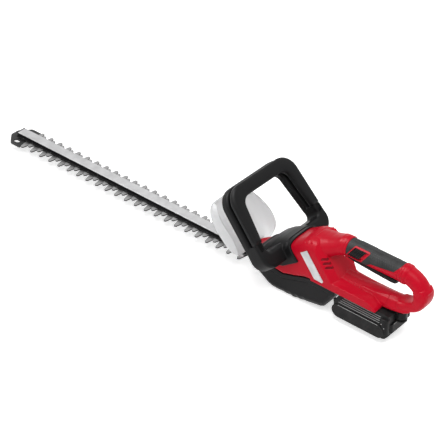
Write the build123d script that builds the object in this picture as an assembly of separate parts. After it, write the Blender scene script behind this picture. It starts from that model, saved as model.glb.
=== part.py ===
# Cordless hedge trimmer, real size, millimetres.
# +X runs forward to the blade tip, +Y to the tool's left side, +Z up.
# The origin is the bottom centre of the tool's box.
from build123d import *
from math import acos, cos, degrees, pi, radians, sin, tan
import os

os.makedirs("parts", exist_ok=True)

# ---------------------------------------------------------------- clearances
slide_gap = 0.1           # between faces that slide on each other
seat_gap = 0.05           # between a piece and the seat that holds it
free_gap = 0.6            # round a moving piece that touches nothing
pin_gap = 0.05            # radial, on every running pin

# ---------------------------------------------------------------- blades and bar
first_tooth_x = 426.0
tooth_pitch = 24.0
crank_offset = 6.0        # each blade travels this far either way
blade_z = 22.0            # plane where the two blades meet
blade_thickness = 2.2
long_tooth_reach = 29.5
short_tooth_reach = 22.5
tooth_tip_width = 7.0
tooth_root_width = 13.5
blade_nose = 7.0          # spine ahead of the first tooth's centre
spine_half_width = 11.0
bar_half_width = 11.3
bar_height = 7.2
rail_half_width = 12.0
rail_height = 1.9
bar_overhang = 29.0       # bar ahead of the first tooth
bolt_radius = 2.5
bolt_head_radius = 4.6
bolt_head_height = 2.6
washer_radius = 6.5
washer_height = 1.2
bolt_count = 5
bolt_thread = 6.0
slot_gap = 0.3

# ---------------------------------------------------------------- tip protector
tip_tail_x = 7.0
tip_shoulder_x = 29.0
tip_half_width = 29.0
tip_nose_half_width = 11.0
tip_plate = 3.2
tip_hole_x = 25.0
tip_hole_y = 17.5
tip_hole_length = 12.0
tip_hole_width = 8.0
tip_lip = 2.4
tip_screw_radius = 1.6
tip_screw_head = 3.0

# ---------------------------------------------------------------- gearbox and motor
gear_x = -163.0
gear_module = 1.0
gear_teeth = 44
pinion_teeth = 12
gear_height = 7.0
gear_backlash = 0.3
gear_pin_radius = 3.0
disc_wall = 1.5
yoke_rim = 5.0
yoke_side_rim = 3.5
window_corner = 8.0
case_wall = 3.0
case_floor = 3.5
case_front = 36.0         # ahead of the gear's axis
bar_socket = 5.0          # bar's end inside the case
case_screw_radius = 1.5
motor_radius = 18.8
motor_length = 42.0
motor_wall = 1.6
motor_pin_radius = 1.6
armature_radius = 13.0
armature_length = 28.0
bush_radius = 4.0
bush_height = 3.0
fan_radius = 14.0
fan_height = 5.0
fan_blades = 9

# ---------------------------------------------------------------- body shells
wall = 2.6
body_half_width = 36.0
cover_half_width = 34.6
cover_edge = 9.0
bevel_angle = 35.0
arm_half_width = 16.5
skirt_half_width = 36.0
skirt_low_z = 59.0
skirt_side_z = 69.0
skirt_top_z = 76.0
skirt_front_x = -270.0
skirt_rear_x = -390.0
shell_screw_radius = 1.5
shell_screw_head = 2.9
badge_thickness = 0.8

# ---------------------------------------------------------------- rear grip
grip_z = 133.5
grip_radius = 16.3
grip_front_x = -316.0
grip_rear_x = -424.0
overmould = 2.6
ring_radius = 17.8
ring_length = 6.0
hook_radius = 16.0
hook_bend = 23.5
tool_half_length = 475.0

# ---------------------------------------------------------------- trigger and lock-off
trigger_pin_x = -312.0
trigger_pin_z = 122.0
trigger_pin_half = 13.0
trigger_pin_radius = 1.5
trigger_half_width = 7.5
trigger_rear_x = -408.0
trigger_swing = 4.5
trigger_front_z = 110.0
trigger_rear_z = 102.5
trigger_back_z = 116.5
window_x = -331.0         # front end of the window's upper edge
window_length = 27.0
window_slant = 13.0
window_low_z = 127.0
window_high_z = 146.0
window_rim = 1.5
slider_travel = 5.0
slider_rib = 1.2

# ---------------------------------------------------------------- front handle
handle_lean = 41.5
handle_x = -160.0
handle_z = 150.0
handle_depth = 35.0
rear_bar_depth = 12.0
groove_depth = 6.0
loop_top = 57.0
loop_top_inner = 36.0
loop_half_top = 73.5
loop_half_low = 85.5
loop_leg_top = 18.0
loop_leg_low = 17.5
loop_low = -90.0
loop_low_inner = -60.0
loop_corner = 36.0
loop_corner_inner = 17.0
bar_edge = 3.0
seam_v = -41.0
seam_gap = 0.9
lever_swing = 2.5
lever_pin_v = -48.0
lever_pin_radius = 2.0
lever_pin_length = 10.0
lever_tongue = 13.0
switch_v = -66.0
tongue_half = 4.0
tongue_depth = 7.0
saddle_wall = 3.5

# ---------------------------------------------------------------- guard
guard_wall = 3.0
guard_half_width = 48.0
guard_foot_half = 17.0
guard_screw_radius = 1.7
guard_screw_head = 3.4
guard_screw_y = 11.0
guard_screw_z = 46.0

# ---------------------------------------------------------------- battery
battery_half_width = 36.0
battery_case_half = 33.5
battery_front_x = -308.0
battery_panel_rear_x = -412.0
battery_rear_x = -415.0
battery_low_z = 13.5
battery_panel_top_z = 39.0
battery_top_z = 57.0
battery_top_half = 27.0
battery_wall = 2.0
battery_corner = 9.0
battery_travel = 72.0
cell_radius = 9.1
cell_length = 62.9
cell_count = 5
cell_pitch = 18.6
foot_half_width = 18.0
foot_neck_half = 12.0
foot_flange = 5.0
foot_length = 52.0
foot_drop = 12.0
latch_tip_x = -430.0
latch_front_x = -403.0
latch_half = 10.0
latch_travel = 2.5
latch_shelf = 2.0
latch_rise = 2.0


# ---------------------------------------------------------------- helpers
def block(x0, x1, y0, y1, z0, z1):
    return Pos((x0 + x1) / 2, (y0 + y1) / 2, (z0 + z1) / 2) * Box(x1 - x0, y1 - y0, z1 - z0)


def rod_z(radius, z0, z1, x=0.0, y=0.0):
    return Pos(x, y, (z0 + z1) / 2) * Cylinder(radius, z1 - z0)


def rod_y(radius, y0, y1, x, z):
    return Pos(x, (y0 + y1) / 2, z) * Rot(90, 0, 0) * Cylinder(radius, y1 - y0)


def rod_x(radius, x0, x1, y, z):
    return Pos((x0 + x1) / 2, y, z) * Rot(0, 90, 0) * Cylinder(radius, x1 - x0)


def area(*points):
    """A flat area, its points taken counter-clockwise whichever way they are listed."""
    turns = sum(a[0] * b[1] - b[0] * a[1] for a, b in zip(points, points[1:] + points[:1]))
    return Polygon(*(points if turns > 0 else points[::-1]), align=None)


def outline(points, corner=0.0):
    face = area(*points)
    return fillet(face.vertices(), corner) if corner else face


def side_plate(face, y0, y1):
    """Extrude an outline drawn in x and z from one side position to another."""
    return Pos(0, y1, 0) * extrude(Plane.XZ * face, amount=y1 - y0)


def flat_plate(face, z0, z1):
    return Pos(0, 0, z0) * extrude(face, amount=z1 - z0)


def mirrored(shape):
    return shape + mirror(shape, about=Plane.XZ)


def save(name, shape):
    solids = shape.solids()
    export_step(solids[0] if len(solids) == 1 else Compound(children=list(solids)), f"parts/{name}.step")


# ---------------------------------------------------------------- levels and places that follow
lower_blade_top = blade_z - slide_gap / 2
lower_blade_low = lower_blade_top - blade_thickness
upper_blade_low = blade_z + slide_gap / 2
upper_blade_top = upper_blade_low + blade_thickness
bar_low = upper_blade_top + slide_gap
bar_top = bar_low + bar_height
rail_top = bar_top + rail_height
bar_front_x = first_tooth_x + bar_overhang
pitch_radius = gear_module * gear_teeth / 2
pinion_radius = gear_module * pinion_teeth / 2
motor_x = gear_x - pitch_radius - pinion_radius
gear_addendum = 0.8 * gear_module
gear_outer = pitch_radius + gear_addendum
disc_radius = crank_offset + gear_pin_radius + pin_gap + disc_wall
window_half_x = disc_radius + 2 * crank_offset + free_gap
window_half_y = disc_radius + crank_offset + free_gap
case_half = gear_outer + free_gap + case_wall
case_front_x = gear_x + case_front
case_rear_x = motor_x - motor_radius - 1.0
gear_low = upper_blade_top + free_gap
gear_top = gear_low + gear_height
case_low = lower_blade_low - slide_gap - case_floor
case_split = lower_blade_low - slide_gap
case_top = gear_top + free_gap + case_wall
bar_rear_x = case_front_x - bar_socket
guard_x = case_front_x + 20.0
last_tooth_x = guard_x
long_count = int((first_tooth_x - last_tooth_x) / tooth_pitch) + 1
yoke_front = gear_x + window_half_x + yoke_rim
yoke_rear = gear_x - window_half_x - yoke_rim
yoke_half = window_half_y + yoke_side_rim
bolt_first_x = first_tooth_x - 2 * tooth_pitch
bolt_step = (bolt_first_x - (last_tooth_x + tooth_pitch)) / (bolt_count - 1)
bolt_places = [bolt_first_x - i * bolt_step for i in range(bolt_count)]


# ---------------------------------------------------------------- blades
def tooth(x, reach):
    tip, root = tooth_tip_width / 2, tooth_root_width / 2
    base = spine_half_width - 1.0
    blade = area((x - root, base), (x + root, base), (x + tip, reach - tip), (x - tip, reach - tip))
    return blade + Pos(x, reach - tip) * Circle(tip)


def blade(reach, first_x, count, z0, z1):
    front = first_tooth_x + blade_nose
    plan = Pos((front + gear_x) / 2, 0) * Rectangle(front - gear_x, 2 * spine_half_width)
    teeth = [tooth(first_x - i * tooth_pitch, reach) for i in range(count)]
    plan = plan + teeth + [mirror(one, about=Plane.XZ) for one in teeth]
    plan += Pos(gear_x, 0) * RectangleRounded(yoke_front - yoke_rear, 2 * yoke_half, window_corner + yoke_side_rim)
    plan -= Pos(gear_x, 0) * RectangleRounded(2 * window_half_x, 2 * window_half_y, window_corner)
    slot_width = 2 * (bolt_radius + slot_gap)
    for x in bolt_places:
        plan -= Pos(x, 0) * SlotOverall(slot_width + 2 * crank_offset, slot_width)
    return flat_plate(plan, z0, z1)


def support_bar():
    bar = block(bar_rear_x, bar_front_x, -bar_half_width, bar_half_width, bar_low, bar_top)
    for x in bolt_places:
        bar -= rod_z(bolt_radius + seat_gap, bar_low, bar_low + bolt_thread + seat_gap, x)
    for y in (-tip_screw_y, tip_screw_y):
        bar -= rod_z(tip_screw_radius + seat_gap, bar_low, bar_low + bolt_thread + seat_gap, tip_screw_x, y)
    return bar


def guide_rail():
    return block(bar_rear_x, bar_front_x, -rail_half_width, rail_half_width, bar_top, rail_top)


def blade_bolts():
    """Shoulder bolts up through the blades' slots into the bar, each on its washer."""
    washer_top = lower_blade_low - slide_gap
    head_top = washer_top - washer_height
    bolts = []
    for x in bolt_places:
        bolts.append(rod_z(washer_radius, head_top, washer_top, x)
                     + rod_z(bolt_head_radius, head_top - bolt_head_height, head_top, x)
                     + rod_z(bolt_radius, washer_top, bar_low + bolt_thread, x))
    return Compound(children=bolts)


# ---------------------------------------------------------------- tip protector
tip_plate_top = lower_blade_low - slide_gap
tip_plate_low = tip_plate_top - tip_plate
tip_block_rear = first_tooth_x + blade_nose + crank_offset + 1.0
tip_screw_x = first_tooth_x + bar_overhang - 6.0
tip_screw_y = 5.5


def tip_protector():
    nose = tool_half_length
    shoulder, tail = first_tooth_x + tip_shoulder_x, first_tooth_x + tip_tail_x
    wide, narrow = tip_half_width, tip_nose_half_width
    plan = outline([(tail, -wide), (shoulder, -wide), (nose, -narrow),
                    (nose, narrow), (shoulder, wide), (tail, wide)])
    for side in (-1, 1):
        plan -= Pos(first_tooth_x + tip_hole_x, side * tip_hole_y) * SlotOverall(tip_hole_length, tip_hole_width)
    plate = flat_plate(plan, tip_plate_low, tip_plate_top)
    plate += block(tip_block_rear, bar_front_x + seat_gap + tip_lip, -narrow, narrow, tip_plate_top,
                   bar_low - seat_gap)
    plate += block(bar_front_x + seat_gap, bar_front_x + seat_gap + tip_lip, -rail_half_width, rail_half_width,
                   tip_plate_low, rail_top)
    for y in (-tip_screw_y, tip_screw_y):
        plate -= rod_z(tip_screw_radius + seat_gap, tip_plate_low, bar_low, tip_screw_x, y)
        plate -= rod_z(tip_screw_head + seat_gap, tip_plate_low, tip_plate_low + 1.2, tip_screw_x, y)
    return plate


def tip_screws():
    return Compound(children=[
        rod_z(tip_screw_head, tip_plate_low, tip_plate_low + 1.2 - seat_gap, tip_screw_x, y)
        + rod_z(tip_screw_radius, tip_plate_low + 1.2 - seat_gap, bar_low + bolt_thread, tip_screw_x, y)
        for y in (-tip_screw_y, tip_screw_y)])


# ---------------------------------------------------------------- gears
pressure_angle = radians(20)


def involute(angle):
    return tan(angle) - angle


def gear_face(teeth, addendum, dedendum, turn):
    """Spur gear outline with involute flanks, thinned by the backlash."""
    pitch = gear_module * teeth / 2
    base = pitch * cos(pressure_angle)
    outer, root = pitch + addendum, pitch - dedendum
    half = pi / (2 * teeth) - gear_backlash / (4 * pitch)
    low = max(base, root + 0.1)
    steps = [low + (outer - low) * i / 4 for i in range(5)]
    flank = [(r, half + involute(pressure_angle) - involute(acos(min(1.0, base / r)))) for r in steps]
    flank = [(root, flank[0][1])] + flank
    points = []
    for i in range(teeth):
        middle = radians(turn) + 2 * pi * i / teeth
        for r, a in flank:
            points.append((r * cos(middle - a), r * sin(middle - a)))
        for r, a in reversed(flank):
            points.append((r * cos(middle + a), r * sin(middle + a)))
    return area(*points)


def drive_gear():
    """Spur gear with its two eccentric discs, one for each blade, half a turn apart."""
    wheel = flat_plate(gear_face(gear_teeth, gear_addendum, 1.25 * gear_module, 0.0), gear_low, gear_top)
    wheel += rod_z(disc_radius, upper_blade_low + slide_gap / 2, gear_low, 0, -crank_offset)
    wheel += rod_z(disc_radius, case_split + slide_gap, upper_blade_low + slide_gap / 2, 0, crank_offset)
    wheel -= rod_z(gear_pin_radius + pin_gap, case_low, case_top, 0)
    return Pos(gear_x, 0, 0) * wheel


def gear_pin():
    return rod_z(gear_pin_radius, case_low + 1.5 + seat_gap, case_top - 1.0 - seat_gap, gear_x)


def pinion():
    wheel = flat_plate(gear_face(pinion_teeth, gear_module, 1.15 * gear_module, 180.0 / pinion_teeth),
                       gear_low, gear_top)
    return Pos(motor_x, 0, 0) * wheel - rod_z(motor_pin_radius + seat_gap / 2, gear_low, gear_top, motor_x)


# ---------------------------------------------------------------- gear case
snout_half = rail_half_width + case_wall
case_screw_places = [(gear_x - 4.0, 27.5), (case_rear_x + 8.0, case_half - 3.5)]
cover_screw_places = [(gear_x - 36.0, 14.0), (gear_x + 12.0, 14.0)]
cover_screw_radius = 1.5
cover_screw_head = 3.0
cover_screw_bite = 3.0
case_pocket_rear = motor_x - pinion_radius - gear_module - free_gap


def case_block(low, high):
    """The case's plan: square behind, round ahead of the gear, with a snout that holds the bar."""
    plan = block(case_rear_x, gear_x, -case_half, case_half, low, high) + rod_z(case_half, low, high, gear_x)
    plan += block(gear_x, case_front_x, -snout_half, snout_half, low, high)
    ear_x, ear_y = case_screw_places[0]
    for side in (-1, 1):
        plan += rod_z(case_screw_radius * 2 + 0.4, low, high, ear_x, side * ear_y)
    return plan


def gear_case_lower():
    case = case_block(case_low, gear_low - free_gap)
    inner = yoke_half + free_gap
    case -= block(yoke_rear - crank_offset - free_gap, case_front_x, -inner, inner, case_split, gear_low)
    case -= rod_z(gear_pin_radius + seat_gap / 2, case_low + 1.5, case_split, gear_x)
    for x, y in cover_screw_places:
        for side in (-1, 1):
            case -= rod_z(cover_screw_radius + seat_gap, case_low, case_low + cover_screw_bite + seat_gap, x, side * y)
    return case - case_screw_holes()


def gear_case_upper():
    low = gear_low - free_gap + seat_gap
    case = case_block(low, case_top)
    ceiling = gear_top + free_gap
    case -= rod_z(gear_outer + free_gap, low, ceiling, gear_x)
    case -= block(case_pocket_rear, gear_x, -pinion_radius * 2, pinion_radius * 2, low, ceiling)
    case -= rod_z(gear_pin_radius + seat_gap / 2, ceiling, case_top - 1.0, gear_x)
    case -= block(bar_rear_x - seat_gap, case_front_x, -rail_half_width - seat_gap, rail_half_width + seat_gap,
                  low, rail_top + seat_gap)
    case -= rod_z(bush_radius + free_gap, ceiling, case_top, motor_x)
    for x in motor_screw_places:
        case -= rod_z(motor_screw_radius + seat_gap, ceiling, case_top, x)
    return case - case_screw_holes()


def case_screw_holes():
    holes = []
    for x, y in case_screw_places:
        for side in (-1, 1):
            holes.append(rod_z(case_screw_radius + seat_gap, case_low, case_top, x, side * y))
            holes.append(rod_z(case_screw_radius * 2 + seat_gap, case_top - 1.6, case_top, x, side * y))
    return Compound(children=holes)


def case_screws():
    screws = []
    for x, y in case_screw_places:
        for side in (-1, 1):
            screws.append(rod_z(case_screw_radius, case_low + 0.5, case_top - 1.6 + seat_gap, x, side * y)
                          + rod_z(case_screw_radius * 2, case_top - 1.6 + seat_gap, case_top, x, side * y))
    return Compound(children=screws)


# ---------------------------------------------------------------- motor
motor_low = case_top + seat_gap
motor_top = motor_low + motor_length
motor_screw_radius = 1.2
motor_screw_places = [motor_x - 9.0, motor_x + 9.0]
armature_low = motor_low + (motor_length - armature_length) / 2
pin_low = gear_low
fan_low = motor_top + bush_height + 0.6


def motor_can():
    can = rod_z(motor_radius, motor_low, motor_top, motor_x)
    can -= rod_z(motor_radius - motor_wall, motor_low + motor_wall, motor_top - motor_wall, motor_x)
    can -= rod_z(bush_radius + seat_gap, motor_low, motor_top, motor_x)
    for x in motor_screw_places:
        can -= rod_z(motor_screw_radius + seat_gap, motor_low, motor_low + motor_wall, x)
    return can


def motor_magnets():
    """Two curved magnets against the can's wall."""
    outer = motor_radius - motor_wall - seat_gap
    ring = rod_z(outer, armature_low, armature_low + armature_length, motor_x)
    ring -= rod_z(armature_radius + free_gap, armature_low, armature_low + armature_length, motor_x)
    return ring - block(motor_x - motor_radius, motor_x + motor_radius, -5, 5, motor_low, motor_top)


def motor_bushes():
    bushes = []
    for low in (motor_low + seat_gap, motor_top + seat_gap - motor_wall):
        bushes.append(rod_z(bush_radius, low, low + bush_height, motor_x)
                      - rod_z(motor_pin_radius + pin_gap, low, low + bush_height, motor_x))
    return Compound(children=bushes)


def motor_rotor():
    rotor = rod_z(motor_pin_radius, pin_low, fan_low + fan_height, motor_x)
    return rotor + rod_z(armature_radius, armature_low, armature_low + armature_length, motor_x)


def cooling_fan():
    hub = rod_z(4.5, fan_low, fan_low + fan_height)
    hub += rod_z(fan_radius, fan_low, fan_low + 1.0)
    for i in range(fan_blades):
        vane = block(4.0, fan_radius - 0.5, -0.5, 0.5, fan_low + 0.9, fan_low + fan_height)
        hub += Rot(0, 0, 360 * i / fan_blades) * vane
    return Pos(motor_x, 0, 0) * hub - rod_z(motor_pin_radius + seat_gap / 2, fan_low, fan_low + fan_height, motor_x)


def motor_screws():
    low = gear_top + free_gap + seat_gap
    return Compound(children=[
        rod_z(motor_screw_radius, low, motor_low + motor_wall, x) for x in motor_screw_places])


# ---------------------------------------------------------------- body shells
cover_line = [(-251.0, 58.0), (-226.0, 49.5), (-203.0, 42.5), (-187.0, 45.5), (-122.0, 42.0)]
body_top = [(-122.0, 53.0), (-146.0, 60.0), (-164.0, 80.0), (-178.0, 92.0), (-204.0, 105.0), (-228.0, 121.0),
            (-250.0, 134.0), (-280.0, 137.0), (-294.0, 126.0)]
gap_front = [(-297.0, 112.0), (-311.0, 79.0), (-312.0, skirt_top_z)]
taper_edge = [(-269.0, body_half_width, 113.0), (-299.0, body_half_width, 73.0)]
taper_end = (-298.0, 17.0, 109.0)
cover_low = [(-122.0, 13.2), (-150.0, 11.5), (-174.0, 0.0), (-228.0, 0.0), (-284.0, 10.0), (-304.0, 40.0),
             (-313.0, 58.0)]
body_front_x = cover_low[0][0]
cover_step_x = -218.0     # the line between cover and shells climbs behind this
nose_plan = [(-122.0, 17.5), (-134.0, 26.5), (-152.0, 33.0), (-176.0, 38.0)]


def section(inset):
    """The body's cross-section, seen along the tool."""
    half = body_half_width - inset
    top = body_top[7][1] - inset
    return area((-half, -5), (half, -5), (half, 108), (half - 5, 122), (half - 16, 132), (half - 28, top),
                   (28 - half, top), (16 - half, 132), (5 - half, 122), (-half, 108))


def nose(inset):
    """The body's rounded front end, seen from above."""
    face = area(*nose_plan, (-600, nose_plan[-1][1]), (-600, -nose_plan[-1][1]),
                *[(x, -y) for x, y in reversed(nose_plan)])
    return flat_plate(offset(face, -inset), -20, 200)


def rear_taper(inset):
    """What the slanted faces behind the side panels cut away."""
    high, low, end = [Vector(*point) for point in (*taper_edge, taper_end)]
    outward = (low - high).cross(end - high).normalized()
    face = Plane(high - outward * inset, z_dir=outward)
    return mirrored(face * Pos(0, 0, 60) * Box(260, 260, 120))


def body_core(inset):
    face = offset(outline(body_top + gap_front + [(gap_front[-1][0], skirt_low_z), (cover_line[0][0], skirt_low_z)]
                          + cover_line[1:]), -inset)
    slab = side_plate(face, -body_half_width, body_half_width)
    tunnel = extrude(Plane.YZ * section(inset), amount=400, both=True)
    return (slab & tunnel & nose(inset)) - rear_taper(inset)


def neck(inset):
    """The body narrows to the grip's ring."""
    start = Plane((-268, 0, 111), x_dir=(0, 1, 0), z_dir=(-1, 0, 0))
    end = Plane((grip_front_x, 0, grip_z), x_dir=(0, 1, 0), z_dir=(-1, 0, 0))
    low = start * Ellipse(29 - inset, 24 - inset)
    high = end * Ellipse(ring_radius - inset, ring_radius - inset)
    return loft([low, high], ruled=True)


def hook_path():
    """Centre line of the hook, from the grip's end round and down to the arm."""
    side = hook_radius - tool_half_length
    start = side + hook_bend
    centre_z = grip_z - hook_bend
    across = hook_bend * cos(radians(45))
    heel = (start - across, centre_z - across)
    middle = (start - hook_bend * cos(radians(22.5)), centre_z - hook_bend * sin(radians(22.5)))
    return Plane.XZ * (Line((grip_rear_x, grip_z), (start, grip_z))
                       + ThreePointArc((start, grip_z), (start - across, centre_z + across), (side, centre_z))
                       + ThreePointArc((side, centre_z), middle, heel)
                       + Line(heel, (heel[0] + 14, heel[1] - 14)))


def hook(inset):
    path = hook_path()
    face = Plane(path @ 0, z_dir=path % 0) * Circle(hook_radius - inset)
    return sweep(face, path=path)


def arm(inset):
    face = outline([(-300, skirt_top_z), (-330, 75.5), (-432, 82), (-446, 88), (-456, 84), (-443, 71),
                    (-390, skirt_low_z + 2), (-300, skirt_low_z + 2)])
    half = arm_half_width - inset
    return side_plate(offset(face, -inset), -half, half)


def skirt(inset):
    half, low = skirt_half_width - inset, skirt_low_z
    top = skirt_top_z - inset
    face = area((-half, low), (half, low), (half, skirt_side_z - inset), (arm_half_width, top),
                   (-arm_half_width, top), (-half, skirt_side_z - inset))
    length = skirt_front_x - skirt_rear_x - 2 * inset
    return Pos(skirt_front_x - inset, 0, 0) * extrude(Plane.YZ * face, amount=-length)


def red_envelope(inset):
    shape = body_core(inset) + neck(inset) + skirt(inset) + arm(inset) + hook(inset)
    shape += rod_x(grip_radius - overmould - inset, grip_rear_x - 1, grip_front_x + 1, 0, grip_z)
    shape += rod_x(ring_radius - inset, grip_rear_x - ring_length + inset, grip_rear_x - inset, 0, grip_z)
    return shape


# ---------------------------------------------------------------- openings in the shells
trigger_slot_half = trigger_half_width + free_gap
trigger_slot_front = trigger_pin_x + 7.0
trigger_slot_rear = trigger_rear_x - 2.0
core_radius = grip_radius - overmould
rib_x = trigger_rear_x + 16.0
rib_z = 131.0
switch_x = -360.0
switch_z = 127.5
switch_length = 20.0
switch_height = 10.0
switch_half = 3.2
board_places = [(-224.0, 80.0), (-224.0, 98.0), (-262.0, 80.0), (-262.0, 98.0)]
board_y = body_half_width - wall - 4.0
board_thickness = 1.6
shell_screw_places = [(-240.0, 68.0), (-286.0, 80.0), (-258.0, 122.0), (-457.0, 114.0), (-412.0, 73.5)]


def window_face(grow, length=window_length, back=0.0):
    """The slanted window in the grip, seen from the side."""
    x = window_x - back
    face = area((x, window_high_z), (x - length, window_high_z),
                   (x - length + window_slant, window_low_z), (x + window_slant, window_low_z))
    return offset(face, grow) if grow else face


def tube_x(outer, inner, x0, x1):
    return rod_x(outer, x0, x1, 0, grip_z) - rod_x(inner, x0 - 1, x1 + 1, 0, grip_z)


def grip_lower_region():
    """The part of the grip's side that the soft cover leaves bare."""
    return area((-350, 100), (-352, 122), (-365, 132), (-409, 138), (-421, 152), (-426, 152), (-426, 100))


def side_slots(x, z, length, width, angle):
    return Pos(x, 0, z) * Rot(0, -angle, 0) * side_plate(SlotOverall(length, width), -60, 60)


def housing():
    """The two red halves together: body, neck, grip core, hook, arm and battery skirt."""
    outer = red_envelope(0)
    wedge = rod_x(grip_radius - 0.2, grip_rear_x, grip_front_x, 0, grip_z)
    outer += wedge & side_plate(grip_lower_region(), -grip_radius, grip_radius)
    shell = outer - red_envelope(wall)
    inner = body_half_width - wall
    below = block(cover_low[-1][0], cover_step_x, -inner, inner, 30, skirt_low_z + 3)
    below += block(cover_step_x, body_front_x - wall, -inner, inner, 30, cover_line[3][1] + 3)
    shell -= below & nose(wall)
    for x, z in shell_screw_places:
        shell += rod_y(3.6, -body_half_width, body_half_width, x, z) & outer
    shell += block(rib_x - 4, rib_x + 4, -core_radius, core_radius, rib_z, rib_z + 2) & outer
    shell += block(switch_x - 4, switch_x + 4, -core_radius, core_radius, switch_z + switch_height + seat_gap,
                   grip_z + core_radius - 1) & outer
    shell += rod_y(4.0, -trigger_pin_half - 2, trigger_pin_half + 2, trigger_pin_x, trigger_pin_z) & outer
    for side in (-1, 1):
        y = side * guard_screw_y
        shell += rod_x(guard_screw_radius + 2, body_front_x - 8, body_front_x, y, guard_screw_z) & outer
        shell -= rod_x(guard_screw_radius + seat_gap, body_front_x - 6.1, body_front_x + 1, y, guard_screw_z)
    for x, z in board_places:
        shell += rod_y(3.0, board_y + board_thickness + seat_gap, inner + 1, x, z)
    shell -= block(trigger_slot_rear, trigger_slot_front, -trigger_slot_half, trigger_slot_half, 90, rib_z - 3)
    pin_reach = trigger_pin_half + seat_gap
    shell -= rod_y(trigger_pin_radius + seat_gap, -pin_reach, pin_reach, trigger_pin_x, trigger_pin_z)
    for side in (-1, 1):
        y0, y1 = sorted((side * 6.0, side * 30.0))
        shell -= side_plate(window_face(seat_gap + window_rim), y0, y1)
    for x, z in ((-282.0, 106.0), (-286.5, 100.4), (-291.5, 94.0)):
        shell -= side_slots(x, z, 17.0, 3.2, -38)
    for x, z in shell_screw_places:
        shell -= rod_y(shell_screw_radius + seat_gap, -60, 8, x, z)
        shell -= rod_y(shell_screw_head + seat_gap, -60, shell_head_y(x), x, z)
    return shell


def shell_head_y(x):
    """Depth of a screw head's seat: the tail is narrower than the body."""
    half = body_half_width if x > grip_front_x else arm_half_width
    return 5.0 - half


def shell_screws():
    screws = []
    for x, z in shell_screw_places:
        seat = shell_head_y(x)
        screws.append(rod_y(shell_screw_head, seat - 2.2, seat, x, z)
                      + rod_y(shell_screw_radius, seat, 7.5, x, z))
    return Compound(children=screws)


def half_of(shape, side):
    y0, y1 = sorted((0, side * 200))
    return shape & block(-600, 600, y0, y1, -100, 300)


def badges():
    face = area((-241, 106), (-254, 116), (-289, 70), (-287, 66.5), (-271, 67))
    plate = side_plate(face, body_half_width + seat_gap, body_half_width + badge_thickness)
    return mirrored(plate)


# ---------------------------------------------------------------- lower cover
def cover_envelope(inset):
    """The cover's outer form: bevelled along its lower edges, cut off at the line where the red shells begin."""
    top = skirt_low_z + 30
    face = area(*cover_low, (cover_low[-1][0], top), (cover_low[0][0], top))
    if inset:
        face = offset(face, -inset)
    half, ease = cover_half_width - inset, cover_edge
    slab = side_plate(face, ease - half, half - ease)
    for side in (-1, 1):
        y = side * (half - ease)
        base = Plane((0, y, 0), x_dir=(1, 0, 0), z_dir=(0, side, 0))
        flat = base * (face if side < 0 else mirror(face, about=Plane.XZ))
        slab += extrude(flat, amount=ease, taper=bevel_angle)
    below = area(*[(x, z - 0.3) for x, z in cover_line], (body_front_x + 9, cover_line[-1][1]),
                    (body_front_x + 9, -50), (-400, -50), (-400, cover_line[0][1] - 0.3))
    return slab & side_plate(below, -60, 60) & nose(inset + body_half_width - cover_half_width)


def lower_cover():
    shell = cover_envelope(0) - cover_envelope(wall)
    inner = cover_half_width - wall
    shell -= block(cover_low[-2][0] + 6, body_front_x - wall, -inner, inner, 36, 80) & nose(wall)
    for x, y in cover_screw_places:
        for side in (-1, 1):
            post = rod_z(4.2, -5, case_low - seat_gap, x, side * y)
            shell += post & (cover_envelope(0) + block(-280, -100, -30, 30, 16, 30))
            shell -= rod_z(cover_screw_radius + seat_gap, -5, case_low + 1, x, side * y)
            shell -= rod_z(cover_screw_head + seat_gap, -5, cover_head_z(x), x, side * y)
    opening = case_half + seat_gap * 2
    shell -= block(case_rear_x - 1, -100, -opening, opening, case_low - seat_gap, 80)
    return shell


def cover_head_z(x):
    """The cover's floor rises towards the front, and the screw seats follow it."""
    return 3.0 if x < cover_low[2][0] else 8.0


def cover_screws():
    screws = []
    for x, y in cover_screw_places:
        for side in (-1, 1):
            seat = cover_head_z(x)
            screws.append(rod_z(cover_screw_head, seat - 1.8, seat, x, side * y)
                          + rod_z(cover_screw_radius, seat, case_low + cover_screw_bite, x, side * y))
    return Compound(children=screws)


# ---------------------------------------------------------------- front handle
lean = radians(handle_lean)
handle_plane = Plane((handle_x, 0, handle_z), x_dir=(0, -1, 0), z_dir=(-cos(lean), 0, sin(lean)))
front_bar_rear = -rear_bar_depth - groove_depth


def loop_half_at(v):
    """Middle of the handle's leg, out from the centre plane, at a height along the handle."""
    outer = loop_half_top + (loop_half_low - loop_half_top) * (loop_top - v) / (loop_top - loop_low)
    low_span = loop_top_inner - loop_low_inner
    inner = (loop_half_top - loop_leg_top) + ((loop_half_low - loop_leg_low) - (loop_half_top - loop_leg_top)) * (loop_top_inner - v) / low_span
    return (outer + inner) / 2


def loop_face():
    outer = outline([(-loop_half_top, loop_top), (loop_half_top, loop_top),
                     (loop_half_low, loop_low), (-loop_half_low, loop_low)], loop_corner)
    inner = outline([(-(loop_half_top - loop_leg_top), loop_top_inner), ((loop_half_top - loop_leg_top), loop_top_inner),
                     ((loop_half_low - loop_leg_low), loop_low_inner), (-(loop_half_low - loop_leg_low), loop_low_inner)],
                    loop_corner_inner)
    return outer - inner


def in_handle(shape):
    return handle_plane * shape


def handle_block(y0, y1, v0, v1, n0, n1):
    return in_handle(block(-y1, -y0, v0, v1, n0, n1))


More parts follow.
